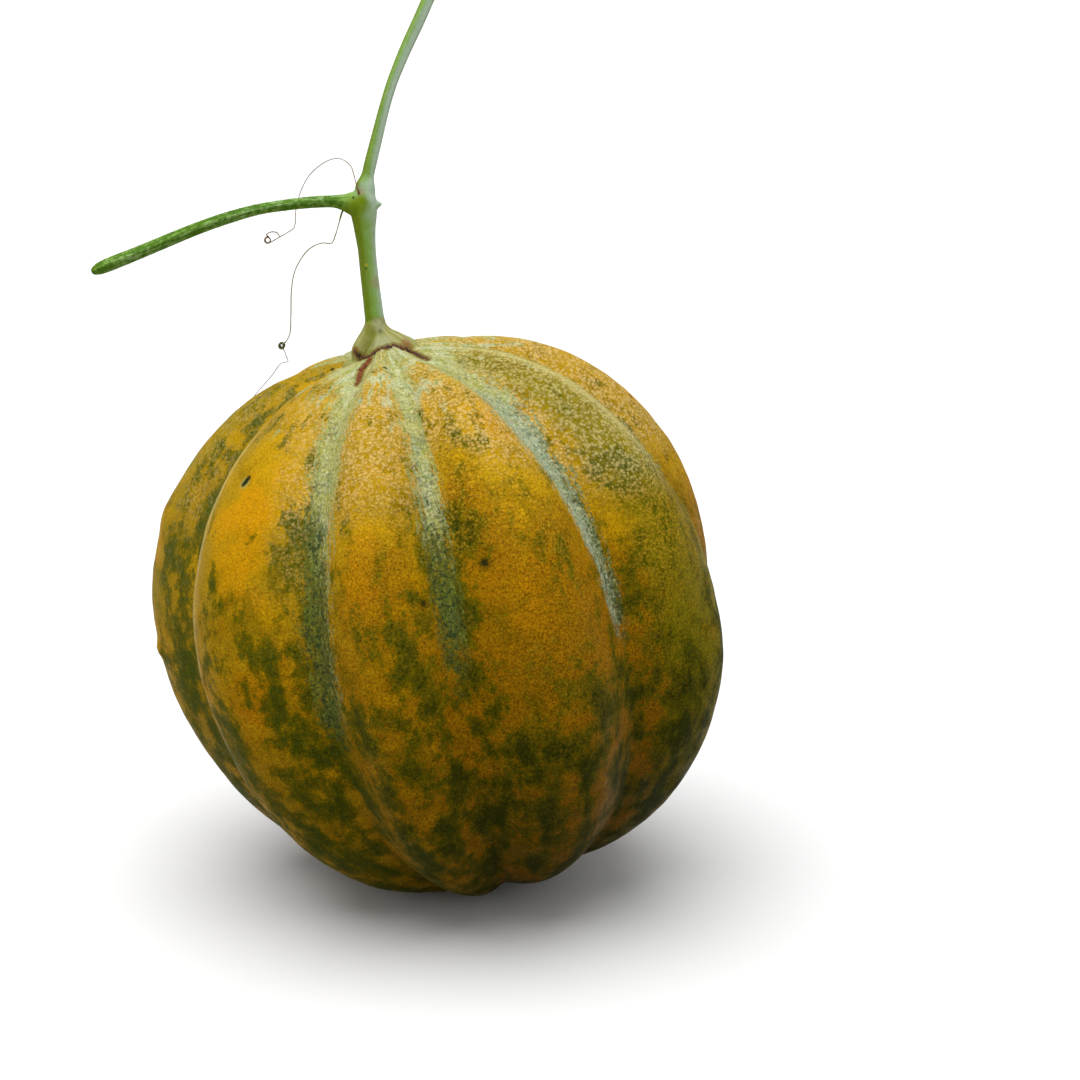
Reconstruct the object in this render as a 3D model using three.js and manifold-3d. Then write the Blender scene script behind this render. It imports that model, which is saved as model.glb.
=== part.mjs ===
// A whole ribbed melon with its stalk, a cut length of vine and two dried tendrils.
// Millimetres, +Z up. The origin is the middle of the flat spot that the fruit rests on.
// The stalk end leans towards -X, and the side that shows best faces -Y.

import * as THREE from 'three';
import { mergeVertices } from 'three/addons/utils/BufferGeometryUtils.js';
import Module from 'manifold-3d';

const wasm = await Module();
wasm.setup();

const { degToRad, euclideanModulo, lerp } = THREE.MathUtils;

// The fruit's size and stance
const GIRTH_RADIUS = 95;        // middle of a full rib at the widest place
const STALK_HALF = 87;          // widest place to the stalk end, along the fruit's axis
const BLOSSOM_HALF = 101;       // widest place to the blossom end
const STALK_POWER = 2;          // 2 is an ellipse, more is squarer
const BLOSSOM_POWER = 2.1;
const DIMPLE_DEPTH = 4.7;       // hollow round the stalk
const DIMPLE_ANGLE = 0.41;      // how far down it reaches, in radians
const FRUIT_LEAN = degToRad(12.6);
const FRUIT_CENTRE = new THREE.Vector3(1.6, -1.3, 99.3);

// The ribs: each groove's angle from +X towards +Y, how far it turns on its way down,
// and the fullness of the rib between it and the next
const GROOVES = [
  { angle: -161, turn: 1.5, fullness: 0.83 },
  { angle: -112.5, turn: -4, fullness: 0.99 },
  { angle: -83, turn: -4.5, fullness: 1 },
  { angle: -47.5, turn: 2, fullness: 1.08 },
  { angle: -2.5, turn: 4.5, fullness: 0.81 },
  { angle: 41, turn: 0, fullness: 0.72 },
  { angle: 71, turn: 0, fullness: 0.9 },
  { angle: 101, turn: -1, fullness: 1 },
  { angle: 128, turn: -2, fullness: 1 },
  { angle: 155, turn: -4, fullness: 1.2 },
];
const TURN_START = 1.2;         // radians from the stalk end, where the angles above hold
const GROOVE_DEPTH = 0.13;      // share of the radius
const GROOVE_FADE = 1.2;        // how the grooves run out towards both ends
const RIB_ROUNDNESS = 1.35;
const COLUMNS_PER_RIB = 8;
const SKIN_ROWS = 36;

// The vine's node, where the stalk meets the two arms, and the routes from it.
// Each place is x, y, z and the radius there.
const VINE_NODE = new THREE.Vector3(-22.5, 1, 227);
const GAP = 0.3;                // clearance between neighbouring pieces
const STALK_ROUTE = [
  [6.9, -2.9, -51.0, 14.0],
  [6.5, -3.0, -47.4, 11.4],
  [5.6, -3.0, -44.6, 7.6],
  [4.4, -2.9, -42.0, 5.0],
  [3.6, -2.8, -39.6, 3.7],
  [3.1, -2.5, -36.8, 3.2],
  [2.6, -2.2, -32.4, 3.05],
  [1.5, -1.4, -22.4, 2.9],
  [0.8, -0.9, -14.0, 2.95],
  [0.3, -0.4, -8.0, 3.5],
  [0, 0, -2.0, 4.3],
  [0, 0.2, 1.6, 4.1],
  [0.2, 0.5, 4.4, 3.0],
];
const UPPER_ARM_ROUTE = [
  [0, 0.2, 0, 3.4],
  [0.6, 1.0, 5.6, 3.0],
  [1.3, 1.6, 8.6, 2.1],
  [2.3, 2.5, 12.9, 2.0],
  [4.2, 4.5, 20.3, 1.9],
  [6.8, 7.0, 30.2, 1.75],
  [9.1, 9.5, 37.5, 1.75],
  [11.8, 12.0, 44.2, 1.85],
  [14.6, 14.5, 50.4, 1.95],
  [17.8, 17.0, 57.1, 2.0],
  [21.9, 20.5, 66.3, 2.0],
];
const LEFT_ARM_ROUTE = [
  [0.5, 0.1, 0, 3.6],
  [-4.2, -0.8, 0.3, 3.6],
  [-6.2, -1.3, 0.6, 2.8],
  [-9.1, -2.0, 1.0, 1.95],
  [-14.4, -3.5, 1.1, 1.8],
  [-23.7, -6.0, 0.5, 1.7],
  [-32.9, -9.0, -0.6, 1.65],
  [-42.1, -12.0, -2.8, 1.8],
  [-51.3, -15.0, -5.7, 1.85],
  [-60.4, -18.0, -9.1, 1.9],
  [-69.5, -21.0, -12.6, 1.95],
  [-78.5, -24.0, -15.9, 2.0],
  [-81.6, -25.1, -17.1, 1.7],
  [-83.4, -25.8, -17.8, 0.9],
];
const BUD_ROUTE = [
  [2.4, -0.3, -0.6, 2.3],
  [4.2, -0.5, -0.1, 1.5],
  [5.7, -0.8, 0.1, 0.5],
];
const ARM_SIDES = 12;
const ARM_STEP = 3.2;
const STALK_SIDES = 20;
const STALK_STEP = 1.9;
const FOOT_LOBES = 5;
const FOOT_LOBE_DEPTH = 0.11;   // share of the foot's spread

// The tendrils, dry threads that leave the node and end in tight curls
const THREAD_RADIUS = 0.35;
const THREAD_SIDES = 5;
const THREAD_STEP = 0.85;
const UPPER_TENDRIL_ROUTE = [
  [-1.6, -3.3, 4.9],
  [-2.4, -1.6, 7.2],
  [-3.1, 1.4, 8.9],
  [-4.4, 4.0, 11.8],
  [-7.8, 6.0, 13.7],
  [-12.1, 8.0, 12.8],
  [-17.6, 8.5, 8.6],
  [-20.5, 7.0, 3.7],
  [-22.1, 4.0, -2.1],
  [-22.7, 2.0, -7.8],
  [-24.5, 1.0, -9.1],
  [-27.1, 0.0, -10.5],
];
const UPPER_CURL = { centre: [-30.0, -1.6, -10.6], radius: 1.4, turns: 1.6, start: -80, drift: 1.9 };
const UPPER_TENDRIL_END = [
  [-29.4, -3.7, -8.6],
  [-27.9, -3.7, -8.2],
  [-26.8, -3.4, -9.5],
];
const LOWER_TENDRIL_ROUTE = [
  [-7.0, -2.2, -2.7],
  [-7.7, -4.0, -5.2],
  [-8.8, -6.0, -9.0],
  [-10.0, -7.3, -11.4],
  [-13.1, -8.5, -11.3],
  [-17.1, -10.0, -13.1],
  [-21.3, -10.5, -19.2],
  [-22.9, -9.0, -25.7],
  [-23.6, -6.5, -35.1],
  [-24.7, -4.0, -41.8],
];
const LOWER_CURL = { centre: [-26.6, -2.4, -44.9], radius: 1.3, turns: 2.2, start: 60, drift: 2.6 };
const LOWER_TENDRIL_END = [
  [-26.4, 0.9, -48.6],
  [-25.9, 1.1, -51.0],
  [-28.3, 1.5, -52.4],
  [-31.8, 4.6, -57.3],
  [-36.0, 8.6, -63.2],
  [-40.6, 12.4, -68.9],
  [-44.9, 14.6, -70.6],
];
const CURL_POINTS_PER_TURN = 8;

const skinMaterial = new THREE.MeshStandardMaterial({ color: 0xa88a35, roughness: 0.55, metalness: 0 });
const vineMaterial = new THREE.MeshStandardMaterial({ color: 0x86a45c, roughness: 0.6, metalness: 0 });
const upperThreadMaterial = new THREE.MeshStandardMaterial({ color: 0x8d7560, roughness: 0.75, metalness: 0 });
const lowerThreadMaterial = new THREE.MeshStandardMaterial({ color: 0x80785c, roughness: 0.75, metalness: 0 });

// Turns a closed geometry into a solid that can be joined and cut.
function toSolid(geometry) {
  geometry.deleteAttribute('uv');
  geometry.deleteAttribute('normal');
  const merged = mergeVertices(geometry, 1e-4);
  return new wasm.Manifold(new wasm.Mesh({
    numProp: 3,
    vertProperties: new Float32Array(merged.getAttribute('position').array),
    triVerts: new Uint32Array(merged.index.array),
  }));
}

// Turns a solid back into a geometry.
function toGeometry(solid) {
  const { vertProperties, triVerts } = solid.getMesh();
  const geometry = new THREE.BufferGeometry();
  geometry.setAttribute('position', new THREE.BufferAttribute(vertProperties, 3));
  geometry.setIndex(new THREE.BufferAttribute(triVerts, 1));
  geometry.computeVertexNormals();
  return geometry;
}

// The angle of a groove, in radians, at an angle theta down from the stalk end.
function grooveAngle(index, theta) {
  const lap = Math.floor(index / GROOVES.length);
  const { angle, turn } = GROOVES[index % GROOVES.length];
  return degToRad(angle + 360 * lap + turn * (theta - TURN_START));
}

// How far the skin is from the fruit's centre, at a share of the way across a rib.
function skinRadius(theta, rib, share) {
  const sine = Math.sin(theta);
  const cosine = Math.cos(theta);
  const half = cosine > 0 ? STALK_HALF : BLOSSOM_HALF;
  const power = cosine > 0 ? STALK_POWER : BLOSSOM_POWER;
  const round = ((sine / GIRTH_RADIUS) ** power + (Math.abs(cosine) / half) ** power) ** (-1 / power);
  const bump = GROOVES[rib].fullness * Math.sin(Math.PI * share) ** RIB_ROUNDNESS;
  const dimple = DIMPLE_DEPTH * Math.exp(-((theta / DIMPLE_ANGLE) ** 2));
  return round * (1 - GROOVE_DEPTH * sine ** GROOVE_FADE * (1 - bump)) - dimple;
}

// The whole fruit, with its skin moved outwards by growth.
function fruitSolid(growth) {
  const columns = GROOVES.length * COLUMNS_PER_RIB;
  const geometry = new THREE.SphereGeometry(1, columns, SKIN_ROWS);
  const places = geometry.getAttribute('position');
  const shares = geometry.getAttribute('uv');
  for (let i = 0; i < places.count; i += 1) {
    const theta = Math.PI * (1 - shares.getY(i));
    const column = euclideanModulo(Math.round(shares.getX(i) * columns), columns);
    const rib = Math.floor(column / COLUMNS_PER_RIB);
    const share = (column % COLUMNS_PER_RIB) / COLUMNS_PER_RIB;
    const before = grooveAngle(rib, theta);
    const phi = before + share * (grooveAngle(rib + 1, theta) - before);
    const radius = skinRadius(theta, rib, share) + growth;
    const sine = Math.max(Math.sin(theta), 0);
    places.setXYZ(
      i,
      radius * sine * Math.cos(phi),
      radius * sine * Math.sin(phi),
      radius * Math.cos(theta),
    );
  }
  geometry.rotateY(-FRUIT_LEAN);
  geometry.translate(FRUIT_CENTRE.x, FRUIT_CENTRE.y, FRUIT_CENTRE.z);
  return toSolid(geometry);
}

// Everything below the surface that the fruit rests on.
function belowGround() {
  const size = 4 * GIRTH_RADIUS;
  const geometry = new THREE.BoxGeometry(size, size, size);
  geometry.translate(0, 0, -size / 2);
  return toSolid(geometry);
}

// A closed tube along a smooth route, which thins and swells with the radius at each place.
// Its outline gets lobes where it spreads beyond its thinnest radius.
function taperedTube(route, sides, step, lobes = 0) {
  const curve = new THREE.CatmullRomCurve3(route.map(([x, y, z]) => new THREE.Vector3(x, y, z)));
  const thinnest = Math.min(...route.map((place) => place[3]));
  const steps = Math.ceil(curve.getLength() / step);
  const { normals, binormals } = curve.computeFrenetFrames(steps, false);
  const geometry = new THREE.CylinderGeometry(1, 1, 1, sides, steps);
  const places = geometry.getAttribute('position');
  for (let i = 0; i < places.count; i += 1) {
    const across = places.getX(i);
    const aside = places.getZ(i);
    const frame = Math.round((places.getY(i) + 0.5) * steps);
    const along = curve.getUtoTmapping(frame / steps) * (route.length - 1);
    const before = Math.min(Math.floor(along), route.length - 2);
    const radius = lerp(route[before][3], route[before + 1][3], along - before);
    const lobe = lobes > 0 ? FOOT_LOBE_DEPTH * Math.cos(lobes * Math.atan2(aside, across)) : 0;
    const reach = radius + lobe * (radius - thinnest);
    const point = curve.getPointAt(frame / steps);
    point.addScaledVector(normals[frame], across * reach);
    point.addScaledVector(binormals[frame], -aside * reach);
    places.setXYZ(i, point.x, point.y, point.z);
  }
  return geometry;
}

// The points of a curl seen from the front, which drifts backwards as it turns.
function curlPoints({ centre, radius, turns, start, drift }) {
  const count = Math.round(turns * CURL_POINTS_PER_TURN);
  const points = [];
  for (let i = 0; i <= count; i += 1) {
    const angle = degToRad(start) - 2 * Math.PI * turns * (i / count);
    points.push([
      centre[0] + radius * Math.cos(angle),
      centre[1] + drift * (i / count - 0.5),
      centre[2] + radius * Math.sin(angle),
    ]);
  }
  return points;
}

// A thread of even thickness through a start, a curl and an end.
function tendrilGeometry(start, curl, end) {
  const points = [...start, ...curlPoints(curl), ...end];
  return taperedTube(points.map((point) => [...point, THREAD_RADIUS]), THREAD_SIDES, THREAD_STEP);
}

// The stalk with its spread foot, the node, both arms and the bud, grown as one piece.
function vineGeometry() {
  const stalk = toSolid(taperedTube(STALK_ROUTE, STALK_SIDES, STALK_STEP, FOOT_LOBES));
  const arms = [UPPER_ARM_ROUTE, LEFT_ARM_ROUTE, BUD_ROUTE].map((route) => toSolid(taperedTube(route, ARM_SIDES, ARM_STEP)));
  const fruit = fruitSolid(GAP).translate([-VINE_NODE.x, -VINE_NODE.y, -VINE_NODE.z]);
  const grown = arms.reduce((whole, arm) => whole.add(arm), stalk);
  return toGeometry(grown.subtract(fruit));
}

// A named piece with its own material.
function piece(name, geometry, material) {
  const mesh = new THREE.Mesh(geometry, material);
  mesh.name = name;
  return mesh;
}

const vine = new THREE.Group();
vine.position.copy(VINE_NODE);
vine.add(
  piece('stalk_and_vine', vineGeometry(), vineMaterial),
  piece('tendril_upper', tendrilGeometry(UPPER_TENDRIL_ROUTE, UPPER_CURL, UPPER_TENDRIL_END), upperThreadMaterial),
  piece('tendril_lower', tendrilGeometry(LOWER_TENDRIL_ROUTE, LOWER_CURL, LOWER_TENDRIL_END), lowerThreadMaterial),
);

const melon = new THREE.Group();
melon.add(
  piece('melon_fruit', toGeometry(fruitSolid(0).subtract(belowGround())), skinMaterial),
  vine,
);

export default melon;
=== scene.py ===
"""Dresses a ribbed melon with its stalk, a cut length of vine and two dried tendrils.

Every size is in metres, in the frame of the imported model: +Z up, the origin in the middle of the flat
spot that the fruit rests on, the stalk end leaning towards -X, and the side that shows best facing -Y.
"""

import logging
import math
from dataclasses import dataclass, field
from enum import Enum

import bmesh
import bpy
import numpy as np
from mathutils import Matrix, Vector, kdtree, noise
from mathutils.bvhtree import BVHTree

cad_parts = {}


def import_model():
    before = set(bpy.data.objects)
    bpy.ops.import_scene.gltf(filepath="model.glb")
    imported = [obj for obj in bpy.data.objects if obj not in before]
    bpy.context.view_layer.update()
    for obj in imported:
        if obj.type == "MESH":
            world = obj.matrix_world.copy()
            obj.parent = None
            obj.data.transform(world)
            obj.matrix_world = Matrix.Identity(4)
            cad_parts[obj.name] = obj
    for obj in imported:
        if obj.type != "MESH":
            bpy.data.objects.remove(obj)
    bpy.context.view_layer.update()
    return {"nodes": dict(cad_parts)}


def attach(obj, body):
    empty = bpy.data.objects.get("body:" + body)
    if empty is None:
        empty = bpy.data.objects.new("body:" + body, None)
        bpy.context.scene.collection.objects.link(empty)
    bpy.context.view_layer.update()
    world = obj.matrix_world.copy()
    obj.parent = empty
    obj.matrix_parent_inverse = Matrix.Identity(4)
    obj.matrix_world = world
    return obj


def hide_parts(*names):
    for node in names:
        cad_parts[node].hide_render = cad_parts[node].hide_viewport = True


Array = np.ndarray
Socket = bpy.types.NodeSocket
Feed = Socket | float | tuple[float, ...]
Colour = tuple[float, float, float, float]
Place = tuple[float, float, float]
RoutePlace = tuple[float, float, float, float]

BODY = "root"
log = logging.getLogger("melon")


def paint(red: float, green: float, blue: float) -> Colour:
    """Turns a colour in screen values into the linear values that shaders use.

    Args:
        red: Red from 0 to 255.
        green: Green from 0 to 255.
        blue: Blue from 0 to 255.

    Returns:
        The linear colour, fully opaque.
    """
    linear = []
    for value in (red, green, blue):
        share = value / 255.0
        linear.append(share / 12.92 if share <= 0.04045 else ((share + 0.055) / 1.055) ** 2.4)
    return (linear[0], linear[1], linear[2], 1.0)


def smooth_step(value: Array, start: float, end: float) -> Array:
    """Rises smoothly from 0 at start to 1 at end, or falls if end is below start."""
    share = np.clip((value - start) / (end - start), 0.0, 1.0)
    return share * share * (3.0 - 2.0 * share)


def turn_from(angle: Array, middle: Array | float) -> Array:
    """Gives how far an angle is from another one, between minus and plus half a turn."""
    return np.angle(np.exp(1j * (angle - middle)))


def bell(value: Array, width: float) -> Array:
    """Falls off smoothly on both sides of 0, where it is 1."""
    return np.exp(-((value / width) ** 2))


def smooth_line(places: Array, step: float) -> Array:
    """Draws a smooth line through places, each a row that starts with x, y, z.

    Args:
        places: The rows to pass through, with any further values such as a radius.
        step: About how far apart the returned rows lie.

    Returns:
        The rows along the line.
    """
    gaps = np.linalg.norm(np.diff(places[:, :3], axis=0), axis=1)
    knots = np.concatenate([[0.0], np.cumsum(np.sqrt(gaps))])
    slopes = np.gradient(places, knots, axis=0)
    rows = []
    for i, gap in enumerate(gaps):
        count = max(int(math.ceil(gap / step)), 1)
        span = knots[i + 1] - knots[i]
        for share in np.arange(count) / count:
            square, cube = share**2, share**3
            rows.append(
                (2 * cube - 3 * square + 1) * places[i]
                + (cube - 2 * square + share) * span * slopes[i]
                + (3 * square - 2 * cube) * places[i + 1]
                + (cube - square) * span * slopes[i + 1]
            )
    rows.append(places[-1])
    return np.array(rows)


def carried_frames(centres: Array) -> tuple[Array, Array, Array]:
    """Carries a frame along a line without twisting it.

    Args:
        centres: The line's points.

    Returns:
        The line's direction and the two directions across it, at each point.
    """
    ahead = np.gradient(centres, axis=0)
    ahead /= np.linalg.norm(ahead, axis=1, keepdims=True)
    start = Vector(ahead[0]).orthogonal().normalized()
    across = [np.array(start)]
    for direction in ahead[1:]:
        carried = across[-1] - direction * float(across[-1] @ direction)
        across.append(carried / np.linalg.norm(carried))
    side = np.array(across)
    return ahead, side, np.cross(ahead, side)


def ball(level: int) -> tuple[Array, list[tuple[int, ...]]]:
    """Makes a ball of radius 1 from even triangles.

    Args:
        level: How often the triangles are split.

    Returns:
        The ball's vertices and faces.
    """
    mesh = bmesh.new()
    bmesh.ops.create_icosphere(mesh, subdivisions=level, radius=1.0)
    vertices = np.array([vertex.co for vertex in mesh.verts])
    faces = [tuple(vertex.index for vertex in face.verts) for face in mesh.faces]
    mesh.free()
    return vertices, faces


def tube_faces(rows: int, count: int, turned: bool = False) -> list[tuple[int, ...]]:
    """Joins rings of vertices, and closes each end to one more vertex.

    Args:
        rows: How many rings there are.
        count: How many vertices a ring has.
        turned: Whether the faces go the other way round.

    Returns:
        The faces, where the two end vertices come after all the rings.
    """
    faces: list[tuple[int, ...]] = []
    for row in range(rows - 1):
        for column in range(count):
            here, beside = row * count + column, row * count + (column + 1) % count
            faces.append((here, beside, beside + count, here + count))
    head, tail, last = rows * count, rows * count + 1, (rows - 1) * count
    for column in range(count):
        following = (column + 1) % count
        faces.append((head, following, column))
        faces.append((tail, last + column, last + following))
    if turned:
        faces = [(face[0], *face[:0:-1]) for face in faces]
    return faces


def point_tree(points: Array) -> kdtree.KDTree:
    """Makes a tree that finds the nearest one of some points."""
    tree = kdtree.KDTree(len(points))
    for index, point in enumerate(points):
        tree.insert(Vector(point), index)
    tree.balance()
    return tree


@dataclass
class MeshParts:
    """Closed shapes that end up together in one mesh, with a value for each vertex.

    Attributes:
        vertices: The shapes' vertices, a block for each shape.
        faces: The faces, as indices into all the vertices.
        values: Per-vertex values by name, a block for each shape.
    """

    vertices: list[Array] = field(default_factory=list)
    faces: list[tuple[int, ...]] = field(default_factory=list)
    values: dict[str, list[Array]] = field(default_factory=dict)

    def add(self, vertices: Array, faces: list[tuple[int, ...]], values: dict[str, Array]) -> None:
        """Adds one shape.

        Args:
            vertices: Its vertices.
            faces: Its faces, counted from its own first vertex.
            values: Its values, one row for each vertex.
        """
        first = sum(len(block) for block in self.vertices)
        self.vertices.append(vertices)
        self.faces.extend(tuple(first + index for index in face) for face in faces)
        for name, block in values.items():
            self.values.setdefault(name, []).append(block)

    def add_tube(self, line: Array, sides: int, lobes: int = 0, lobe_depth: float = 0.0) -> None:
        """Adds a closed tube whose radius follows the line's fourth value.

        Args:
            line: Rows of x, y, z and radius.
            sides: How many sides the tube has.
            lobes: How many lobes its outline has where it spreads.
            lobe_depth: The lobes' depth as a share of the spread.
        """
        _, side, up = carried_frames(line[:, :3])
        turn = np.linspace(0.0, 2.0 * math.pi, sides, endpoint=False)
        spread = line[:, 3] - line[:, 3].min()
        reach = line[:, 3][:, None] + lobe_depth * spread[:, None] * np.cos(lobes * turn)[None]
        ring = side[:, None] * np.cos(turn)[None, :, None] + up[:, None] * np.sin(turn)[None, :, None]
        body = line[:, None, :3] + ring * reach[..., None]
        vertices = np.concatenate([body.reshape(-1, 3), line[:1, :3], line[-1:, :3]])
        rows = len(line)
        along = np.repeat(np.linspace(0.0, 1.0, rows), sides)
        flow = np.stack([np.tile(np.cos(turn), rows), np.tile(np.sin(turn), rows), along], axis=1)
        flow = np.concatenate([flow, [[0.0, 0.0, 0.0], [0.0, 0.0, 1.0]]])
        self.add(vertices, tube_faces(rows, sides), {"along": flow[:, 2], "flow": flow})

    def build(self, name: str) -> bpy.types.Object:
        """Makes the object, smoothly shaded.

        Args:
            name: The object's and the mesh's name.

        Returns:
            The object, linked to the scene.
        """
        mesh = bpy.data.meshes.new(name)
        mesh.from_pydata(np.concatenate(self.vertices), [], self.faces)
        mesh.update()
        mesh.shade_smooth()
        for key, blocks in self.values.items():
            block = np.concatenate(blocks).astype(np.float32)
            kind, slot = ("FLOAT", "value") if block.ndim == 1 else ("FLOAT_VECTOR", "vector")
            mesh.attributes.new(key, kind, "POINT").data.foreach_set(slot, block.ravel())
        thing = bpy.data.objects.new(name, mesh)
        bpy.context.scene.collection.objects.link(thing)
        return thing


class Recipe:
    """Adds shader nodes to a tree and links what feeds them."""

    def __init__(self, tree: bpy.types.NodeTree) -> None:
        """Starts in a node tree."""
        self.tree = tree

    def node(
        self, kind: str, feeds: dict[int | str, Feed] | None = None, **settings: object
    ) -> bpy.types.Node:
        """Adds a node.

        Args:
            kind: The node's type.
            feeds: What goes into its inputs, a socket or a fixed value.
            settings: The node's own settings.

        Returns:
            The node.
        """
        node = self.tree.nodes.new(kind)
        for name, value in settings.items():
            setattr(node, name, value)
        for key, feed in (feeds or {}).items():
            if isinstance(feed, bpy.types.NodeSocket):
                self.tree.links.new(feed, node.inputs[key])
            else:
                node.inputs[key].default_value = feed
        return node

    def math(self, operation: str, first: Feed, second: Feed = 0.0) -> Socket:
        """Works out a sum of two numbers."""
        return self.node("ShaderNodeMath", {0: first, 1: second}, operation=operation).outputs[0]

    def times(self, first: Feed, second: Feed) -> Socket:
        """Multiplies two numbers."""
        return self.math("MULTIPLY", first, second)

    def plus(self, first: Feed, second: Feed) -> Socket:
        """Adds two numbers."""
        return self.math("ADD", first, second)

    def minus(self, first: Feed, second: Feed) -> Socket:
        """Takes the second number from the first."""
        return self.math("SUBTRACT", first, second)

    def shifted(self, vector: Feed, shift: float) -> Socket:
        """Moves a vector aside, for a pattern that differs from the last one."""
        return self.node(
            "ShaderNodeVectorMath", {0: vector, 1: (shift, -2.3 * shift, 1.7 * shift)}, operation="ADD"
        ).outputs[0]

    def noise(
        self, where: Feed, size: float, detail: float = 2.0, rough: float = 0.5, bend: float = 0.0
    ) -> Socket:
        """Adds a cloudy pattern.

        Args:
            where: The place that it is read at.
            size: About how large its clouds are.
            detail: How many finer layers it has.
            rough: How strong those are.
            bend: How much it is warped.

        Returns:
            The pattern, mostly between 0.3 and 0.7.
        """
        feeds = {"Vector": where, "Scale": 1.0 / size, "Detail": detail, "Roughness": rough}
        return self.node("ShaderNodeTexNoise", {**feeds, "Distortion": bend}).outputs[0]

    def step(self, value: Feed, start: Feed, end: Feed) -> Socket:
        """Rises smoothly from 0 at start to 1 at end, or falls if end is below start."""
        feeds = {"Value": value, "From Min": start, "From Max": end}
        return self.node("ShaderNodeMapRange", feeds, interpolation_type="SMOOTHSTEP").outputs[0]

    def stirred(self, value: Feed, *patterns: tuple[Feed, float]) -> Socket:
        """Adds patterns to a value, each less its middle of 0.5 and times its weight."""
        for pattern, weight in patterns:
            value = self.plus(value, self.times(self.minus(pattern, 0.5), weight))
        return value

    def mix(self, share: Feed, first: Feed, second: Feed, blend_type: str = "MIX") -> Socket:
        """Mixes two colours by a share of the second."""
        feeds = {0: share, 6: first, 7: second}
        return self.node("ShaderNodeMix", feeds, data_type="RGBA", blend_type=blend_type).outputs[2]

    def laid(self, below: Feed, mask: Feed, amount: Feed, above: Feed) -> Socket:
        """Lays a colour over another one, by a mask times an amount."""
        return self.mix(self.times(mask, amount), below, above)

    def line(self, pattern: Feed, middle: float, wide: float, narrow: float) -> Socket:
        """Draws winding lines where a pattern comes near its middle."""
        return self.step(self.math("ABSOLUTE", self.minus(pattern, middle)), wide, narrow)

    def value(self, name: str) -> Socket:
        """Reads a value that the mesh holds for each vertex."""
        return self.node("ShaderNodeAttribute", attribute_name=name).outputs["Fac"]

    def vector(self, name: str) -> Socket:
        """Reads a vector that the mesh holds for each vertex."""
        return self.node("ShaderNodeAttribute", attribute_name=name).outputs["Vector"]

    def place(self) -> Socket:
        """Reads the place on the object, in metres."""
        return self.node("ShaderNodeTexCoord").outputs["Object"]

    def spot(
        self, where: Feed, centre: Place, radius: float, raggedness: Feed, softness: float = 0.4
    ) -> Socket:
        """Marks a round place with a ragged edge.

        Args:
            where: The place on the object.
            centre: The middle of the mark.
            radius: The mark's radius.
            raggedness: A pattern around 0.5 that bends its edge.
            softness: How wide its edge is, as a share of the radius.

        Returns:
            1 inside the mark and 0 outside.
        """
        distance = self.node("ShaderNodeVectorMath", {0: where, 1: centre}, operation="DISTANCE")
        bent = self.math("MULTIPLY_ADD", raggedness, -radius)
        bent.node.inputs[2].default_value = radius * 1.5
        away = self.math("DIVIDE", distance.outputs["Value"], bent)
        return self.step(away, 0.95 + softness / 2.0, 0.95 - softness / 2.0)


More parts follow.
